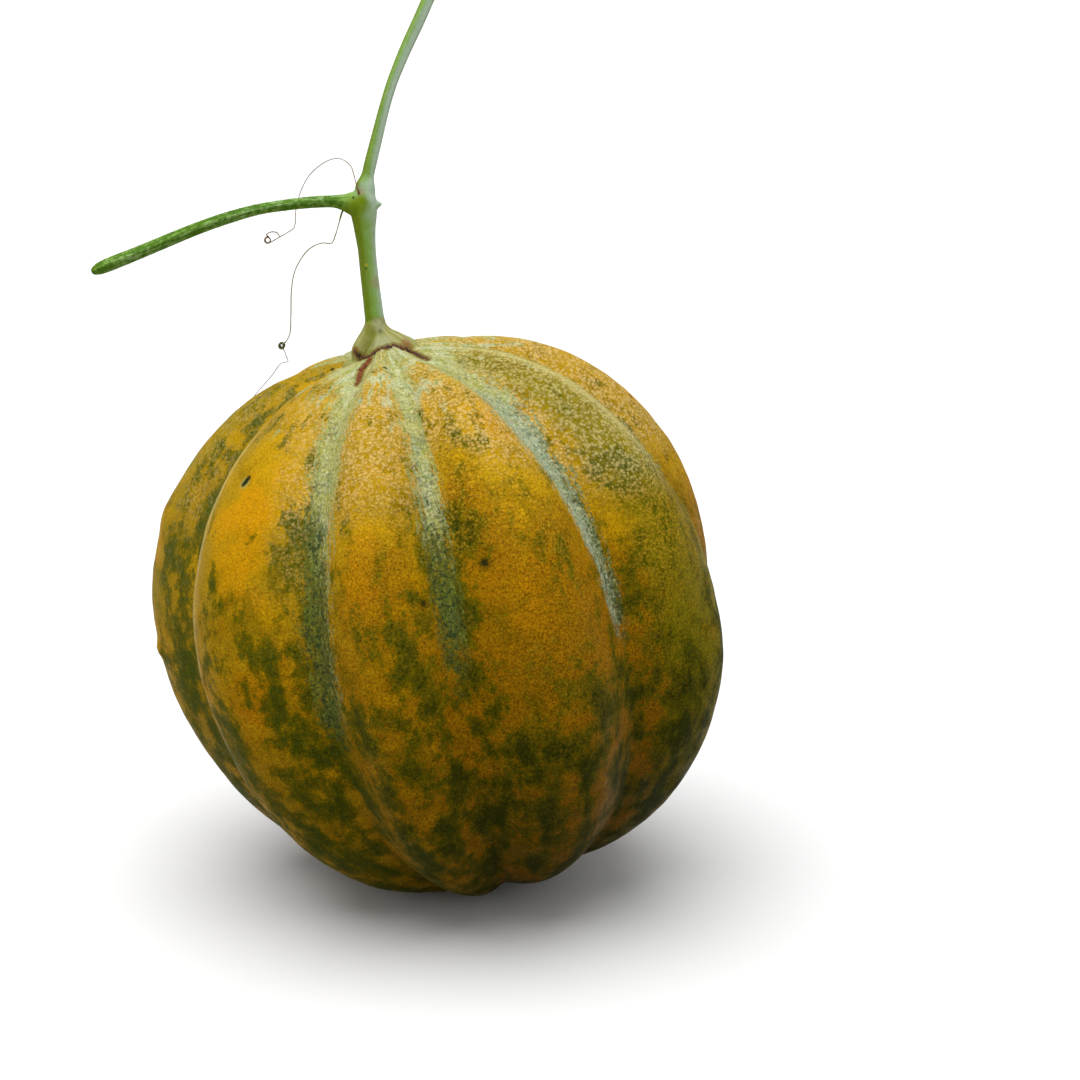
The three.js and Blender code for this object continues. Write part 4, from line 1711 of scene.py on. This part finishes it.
@dataclass
class Tendril:
    """A thin dry thread from the node through a curl to its end.

    Attributes:
        name: The piece's name.
        cad_node: The CAD node that it stands for.
        slot: The record's material slot; not used.
        route: Its places before the curl, from the vine's node.
        curl: The curl.
        end: Its places after the curl.
        root_radius: Its radius at the node.
        run_radius: Its radius on the long run.
        curl_radius: Its radius in the curl.
        end_radius: Its radius after the curl.
        swell: How uneven its thickness is, as a share.
        swell_size: About how long a thicker place is.
    """

    name: str
    cad_node: str
    slot: str
    route: tuple[Place, ...]
    curl: Curl
    end: tuple[Place, ...]
    root_radius: float = 0.00032
    run_radius: float = 0.00017
    curl_radius: float = 0.00024
    end_radius: float = 0.00018
    swell: float = 0.22
    swell_size: float = 0.0016
    sides: int = 8
    step: float = 0.0003

    def build(self, finish: DryThread, effects: Effects, node: Place) -> bpy.types.Object:
        """Makes and dresses the tendril.

        Args:
            finish: The thread's finish.
            effects: The shared patterns.
            node: The vine's node in the row frame.

        Returns:
            The object.
        """
        curl = self.curl.points()
        points = np.array([*self.route, *curl, *self.end])
        run, inside = len(self.route), len(curl)
        radii = np.full(len(points), self.run_radius)
        radii[:2] = self.root_radius
        radii[run : run + inside] = self.curl_radius
        radii[run + inside :] = self.end_radius
        radii[-1] = 0.6 * self.end_radius
        line = smooth_line(np.column_stack([points, radii]), self.step)
        swell = np.array([noise.noise(Vector(row[:3]) / self.swell_size) for row in line])
        line[:, 3] *= 1.0 + self.swell * swell
        line[:, :3] += np.array(node)
        parts = MeshParts()
        parts.add_tube(line, self.sides)
        thread = parts.build(self.name)
        thread.data.materials.append(finish.material(effects))
        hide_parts(self.cad_node)
        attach(thread, BODY)
        return thread


@dataclass(frozen=True)
class Crust(Finish):
    """Dried gum or a dark crack: rough, with a paler second colour.

    Attributes:
        dark: The colour in its hollows.
        light: The colour of its lumps.
    """

    name: str = "gum"
    gloss: float = 0.4
    dark: Colour = paint(92, 30, 8)
    light: Colour = paint(168, 72, 26)

    def material(self, effects: Effects) -> bpy.types.Material:
        """Builds the material from the shared patterns."""
        material, recipe, shader = self.start()
        where = recipe.place()
        lumps = recipe.noise(where, 0.0007, detail=3.0, rough=0.6)
        colour = recipe.mix(recipe.step(lumps, 0.42, 0.58), self.dark, self.light)
        flecks = effects.put_flecks(recipe, where, 0.0005, 0.56)
        colour = recipe.laid(colour, flecks, 0.7, self.dark)
        self.surface(recipe, shader, colour, recipe.step(lumps, -0.2, 1.1), lumps, 0.0004)
        return material


@dataclass
class StalkCrust:
    """Lumps that follow a line: the dark crack round the stalk's foot, or the gum below it.

    Attributes:
        name: The piece's name.
        form: The fruit, which the line's angles are measured on.
        line: Places on the line, as degrees down and round, and the lumps' radius.
        spacing: How far apart the lumps lie, as a share of their radius.
        scatter: How far they stray, as a share of their radius.
        flatness: Their height as a share of their width.
        lumpiness: How uneven each lump is, as a share.
        reach: How far outside the skin they are dropped from.
        halo: How far the scorched edge round them reaches.
        step: How finely the line is followed.
        seed: Where the random draw starts.
    """

    name: str
    form: FruitForm
    line: tuple[Place, ...]
    spacing: float = 0.8
    scatter: float = 0.3
    flatness: float = 0.6
    lumpiness: float = 0.4
    reach: float = 0.05
    halo: float = 0.0022
    step: float = 0.0002
    seed: int = 3

    def build(self, finish: Crust, effects: Effects, carriers: list[bpy.types.Object]) -> bpy.types.Object:
        """Makes and dresses the crust.

        Args:
            finish: The crust's finish.
            effects: The shared patterns.
            carriers: What it sits on.

        Returns:
            The object.
        """
        draw = np.random.default_rng(self.seed)
        surfaces = [self.surface_of(carrier) for carrier in carriers]
        rows = []
        for down, way_round, radius in self.line:
            rows.append([*self.form.on_skin(down, way_round, self.reach), radius])
        line = smooth_line(np.array(rows), self.step)
        vertices, faces = ball(2)
        parts = MeshParts()
        travelled, due = 0.0, 0.0
        for index in range(1, len(line)):
            travelled += float(np.linalg.norm(line[index, :3] - line[index - 1, :3]))
            if travelled < due:
                continue
            radius = float(line[index, 3]) * draw.uniform(0.7, 1.3)
            due = travelled + radius * self.spacing
            start = line[index, :3] + draw.normal(0.0, self.scatter * radius, 3)
            place, outward = self.landing(surfaces, start)
            swell = np.array([noise.noise(Vector(vertex * 1.4 + index)) for vertex in vertices])
            shape = vertices * radius * (1.0 + self.lumpiness * swell)[:, None]
            shape = shape - (1.0 - self.flatness) * (shape @ outward)[:, None] * outward
            parts.add(shape + place, faces, {})
        crust = parts.build(self.name)
        self.scorch(carriers, np.concatenate(parts.vertices))
        crust.data.materials.append(finish.material(effects))
        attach(crust, BODY)
        return crust

    def scorch(self, carriers: list[bpy.types.Object], points: Array) -> None:
        """Notes on the carriers how near each place is to the crust.

        Args:
            carriers: What the crust sits on.
            points: The crust's vertices.
        """
        tree = point_tree(points)
        for carrier in carriers:
            mesh = carrier.data
            values = np.zeros(len(mesh.vertices), np.float32)
            layer = mesh.attributes.get("scorch") or mesh.attributes.new("scorch", "FLOAT", "POINT")
            layer.data.foreach_get("value", values)
            places = np.zeros(len(values) * 3, np.float32)
            mesh.vertices.foreach_get("co", places)
            places = places.reshape(-1, 3)
            low, high = points.min(axis=0) - self.halo, points.max(axis=0) + self.halo
            near = np.flatnonzero(np.all((places > low) & (places < high), axis=1))
            away = np.array([tree.find(Vector(places[index]))[2] for index in near])
            values[near] = np.maximum(values[near], smooth_step(away, self.halo, 0.0))
            layer.data.foreach_set("value", values)

    @staticmethod
    def surface_of(carrier: bpy.types.Object) -> BVHTree:
        """Makes a tree of a carrier's faces."""
        mesh = carrier.data
        vertices = [vertex.co for vertex in mesh.vertices]
        return BVHTree.FromPolygons(vertices, [tuple(face.vertices) for face in mesh.polygons])

    def landing(self, surfaces: list[BVHTree], start: Array) -> tuple[Array, Array]:
        """Drops a point towards the fruit's centre onto the first surface.

        Args:
            surfaces: The carriers' surfaces.
            start: Where the point starts, outside them.

        Returns:
            Where it lands and the way that the surface faces there.
        """
        inward = (Vector(self.form.centre) - Vector(start)).normalized()
        hits = [surface.ray_cast(Vector(start), inward) for surface in surfaces]
        place, normal, _, _ = min((hit for hit in hits if hit[0] is not None), key=lambda hit: hit[3])
        return np.array(place), np.array(normal)


@dataclass
class Studio:
    """The camera, the pale floor and the soft light."""

    camera_place: Place = (0.03371, -0.81319, 0.33410)
    camera_down: float = math.radians(15.0)
    lens: float = 85.0
    floor_size: float = 24.0
    floor_white: Colour = (0.97, 0.97, 0.97, 1.0)
    floor_bounce: Colour = (0.3, 0.29, 0.27, 1.0)
    sky: float = 0.48
    key_strength: float = 2.4
    key_angle: float = math.radians(64.0)
    key_from: Place = (-0.12, -0.1, 1.0)

    def build(self) -> None:
        """Makes the camera, the floor, the light and the sky."""
        self.camera()
        self.floor()
        self.key_light()
        self.world()
        bpy.context.scene.view_settings.view_transform = "Standard"

    def camera(self) -> None:
        """Adds the camera."""
        data = bpy.data.cameras.new("photo_camera")
        data.lens = self.lens
        data.sensor_width = 36.0
        camera = bpy.data.objects.new("photo_camera", data)
        camera.location = self.camera_place
        camera.rotation_euler = (math.pi / 2.0 - self.camera_down, 0.0, 0.0)
        bpy.context.scene.collection.objects.link(camera)
        bpy.context.scene.camera = camera

    def floor(self) -> None:
        """Adds the pale floor, which gives back little of its light to the fruit."""
        half = self.floor_size / 2.0
        corners = [(-half, -half, 0.0), (half, -half, 0.0), (half, half, 0.0), (-half, half, 0.0)]
        mesh = bpy.data.meshes.new("studio_floor")
        mesh.from_pydata(corners, [], [(0, 1, 2, 3)])
        floor = bpy.data.objects.new("studio_floor", mesh)
        bpy.context.scene.collection.objects.link(floor)
        material = bpy.data.materials.new("studio_floor")
        material.use_nodes = True
        recipe = Recipe(material.node_tree)
        shader = next(node for node in material.node_tree.nodes if node.type == "BSDF_PRINCIPLED")
        shader.inputs["Roughness"].default_value = 1.0
        shader.inputs["Specular IOR Level"].default_value = 0.0
        bounced = recipe.node("ShaderNodeLightPath").outputs["Is Diffuse Ray"]
        colour = recipe.mix(bounced, self.floor_white, self.floor_bounce)
        recipe.tree.links.new(colour, shader.inputs["Base Color"])
        mesh.materials.append(material)

    def key_light(self) -> None:
        """Adds the wide soft light from above."""
        data = bpy.data.lights.new("key_light", "SUN")
        data.energy = self.key_strength
        data.angle = self.key_angle
        light = bpy.data.objects.new("key_light", data)
        light.rotation_euler = Vector(self.key_from).to_track_quat("Z", "Y").to_euler()
        bpy.context.scene.collection.objects.link(light)

    def world(self) -> None:
        """Sets the white surroundings."""
        world = bpy.data.worlds.new("studio")
        world.use_nodes = True
        world.node_tree.nodes.clear()
        recipe = Recipe(world.node_tree)
        seen = recipe.node("ShaderNodeLightPath").outputs["Is Camera Ray"]
        feeds = {"Value": seen, "To Min": self.sky, "To Max": 1.0}
        strength = recipe.node("ShaderNodeMapRange", feeds).outputs[0]
        back = recipe.node("ShaderNodeBackground", {"Color": (1.0, 1.0, 1.0, 1.0), "Strength": strength})
        recipe.node("ShaderNodeOutputWorld", {"Surface": back.outputs[0]})
        bpy.context.scene.world = world


UPPER_TENDRIL = Tendril(
    name="tendril_upper_thread",
    cad_node="tendril_upper",
    slot="dry_tendril_brown",
    route=(
        (-0.0012, -0.0024, 0.0030),
        (-0.0016, -0.0033, 0.0049),
        (-0.0024, -0.0016, 0.0072),
        (-0.0031, 0.0014, 0.0089),
        (-0.0044, 0.0040, 0.0118),
        (-0.0078, 0.0060, 0.0137),
        (-0.0121, 0.0080, 0.0128),
        (-0.0176, 0.0085, 0.0086),
        (-0.0205, 0.0070, 0.0037),
        (-0.0221, 0.0040, -0.0021),
        (-0.0227, 0.0020, -0.0078),
        (-0.0245, 0.0010, -0.0091),
        (-0.0271, 0.0, -0.0105),
    ),
    curl=Curl((-0.0309, -0.0016, -0.0113), 0.0009, 1.55, -80.0, 0.0016),
    end=(
        (-0.0310, -0.0036, -0.0092),
        (-0.0294, -0.0038, -0.0084),
        (-0.0276, -0.0036, -0.0087),
        (-0.0268, -0.0034, -0.0100),
    ),
)

LOWER_TENDRIL = Tendril(
    name="tendril_lower_thread",
    cad_node="tendril_lower",
    slot="dry_tendril_olive",
    route=(
        (-0.0062, -0.0012, -0.0008),
        (-0.0070, -0.0022, -0.0027),
        (-0.0077, -0.0040, -0.0052),
        (-0.0088, -0.0060, -0.0090),
        (-0.0100, -0.0073, -0.0114),
        (-0.0131, -0.0085, -0.0113),
        (-0.0171, -0.0100, -0.0131),
        (-0.0213, -0.0105, -0.0192),
        (-0.0229, -0.0090, -0.0257),
        (-0.0236, -0.0065, -0.0351),
        (-0.0243, -0.0045, -0.0412),
        (-0.0258, -0.0034, -0.0440),
    ),
    curl=Curl((-0.0272, -0.0024, -0.0454), 0.0008, 2.6, 50.0, 0.0024),
    end=(
        (-0.0268, 0.0003, -0.0474),
        (-0.0262, 0.0009, -0.0494),
        (-0.0257, 0.0011, -0.0512),
        (-0.0279, 0.0015, -0.0520),
        (-0.0314, 0.0046, -0.0566),
        (-0.0362, 0.0086, -0.0624),
        (-0.0411, 0.0120, -0.0681),
        (-0.0449, 0.0146, -0.0706),
    ),
    run_radius=0.00019,
    curl_radius=0.00036,
    end_radius=0.00014,
)

CRACK_LINE: tuple[Place, ...] = (
    (7.2, -148.6, 0.00025),
    (7.3, -141.3, 0.0003),
    (7.1, -137.6, 0.00035),
    (6.6, -133.0, 0.0004),
    (6.5, -121.1, 0.00046),
    (6.5, -109.6, 0.00052),
    (6.3, -102.0, 0.00052),
    (6.2, -94.9, 0.00052),
    (6.2, -86.6, 0.00046),
    (5.9, -78.0, 0.0004),
    (5.8, -68.2, 0.00045),
    (6.1, -59.7, 0.0004),
    (7.0, -53.1, 0.0004),
    (7.8, -46.7, 0.0004),
    (9.1, -44.4, 0.00035),
    (11.4, -45.5, 0.0003),
    (13.1, -45.8, 0.00025),
    (14.8, -46.0, 0.00015),
)

GUM_LINE: tuple[Place, ...] = (
    (7.4, -111.3, 0.00045),
    (9.1, -113.6, 0.0005),
    (10.4, -114.4, 0.0005),
    (11.7, -113.9, 0.0005),
    (13.6, -112.7, 0.0004),
    (15.9, -110.7, 0.0005),
    (19.0, -108.3, 0.0002),
)


def main() -> None:
    """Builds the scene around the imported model."""
    logging.basicConfig(level=logging.INFO, format="%(name)s: %(message)s")
    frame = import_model()
    Studio().build()
    form = FruitForm()
    effects = Effects()
    pieces = [FruitBody(form).build(MelonSkin(), effects)]
    vine = StalkAndVine(form)
    pieces.append(vine.build(GreenStem(), effects))
    pieces.append(UPPER_TENDRIL.build(DryThread(name="dry_thread_brown"), effects, vine.node))
    olive = DryThread(
        name="dry_thread_olive",
        root=paint(134, 146, 84),
        middle=paint(170, 178, 146),
        curl=paint(84, 84, 40),
        end=paint(184, 178, 180),
        curl_from=0.46,
        curl_to=0.63,
    )
    pieces.append(LOWER_TENDRIL.build(olive, effects, vine.node))
    carriers = pieces[:2]
    crack = Crust(name="dark_crack", dark=paint(44, 24, 8), light=paint(118, 66, 28))
    fissure = StalkCrust(
        "stalk_crack", form, CRACK_LINE, spacing=0.45, scatter=0.6, flatness=0.5, halo=0.0016
    )
    pieces.append(fissure.build(crack, effects, carriers))
    gum = StalkCrust(
        "gum_beads", form, GUM_LINE, spacing=0.85, scatter=1.0, flatness=0.8, halo=0.0016, seed=5
    )
    dried = Crust(name="dried_gum", dark=paint(104, 42, 8), light=paint(172, 82, 28))
    pieces.append(gum.build(dried, effects, carriers))
    for piece in pieces:
        log.info("%s: %d faces", piece.name, len(piece.data.polygons))
    log.info("frame nodes: %s", ", ".join(sorted(frame["nodes"])))


if __name__ == "__main__":
    main()
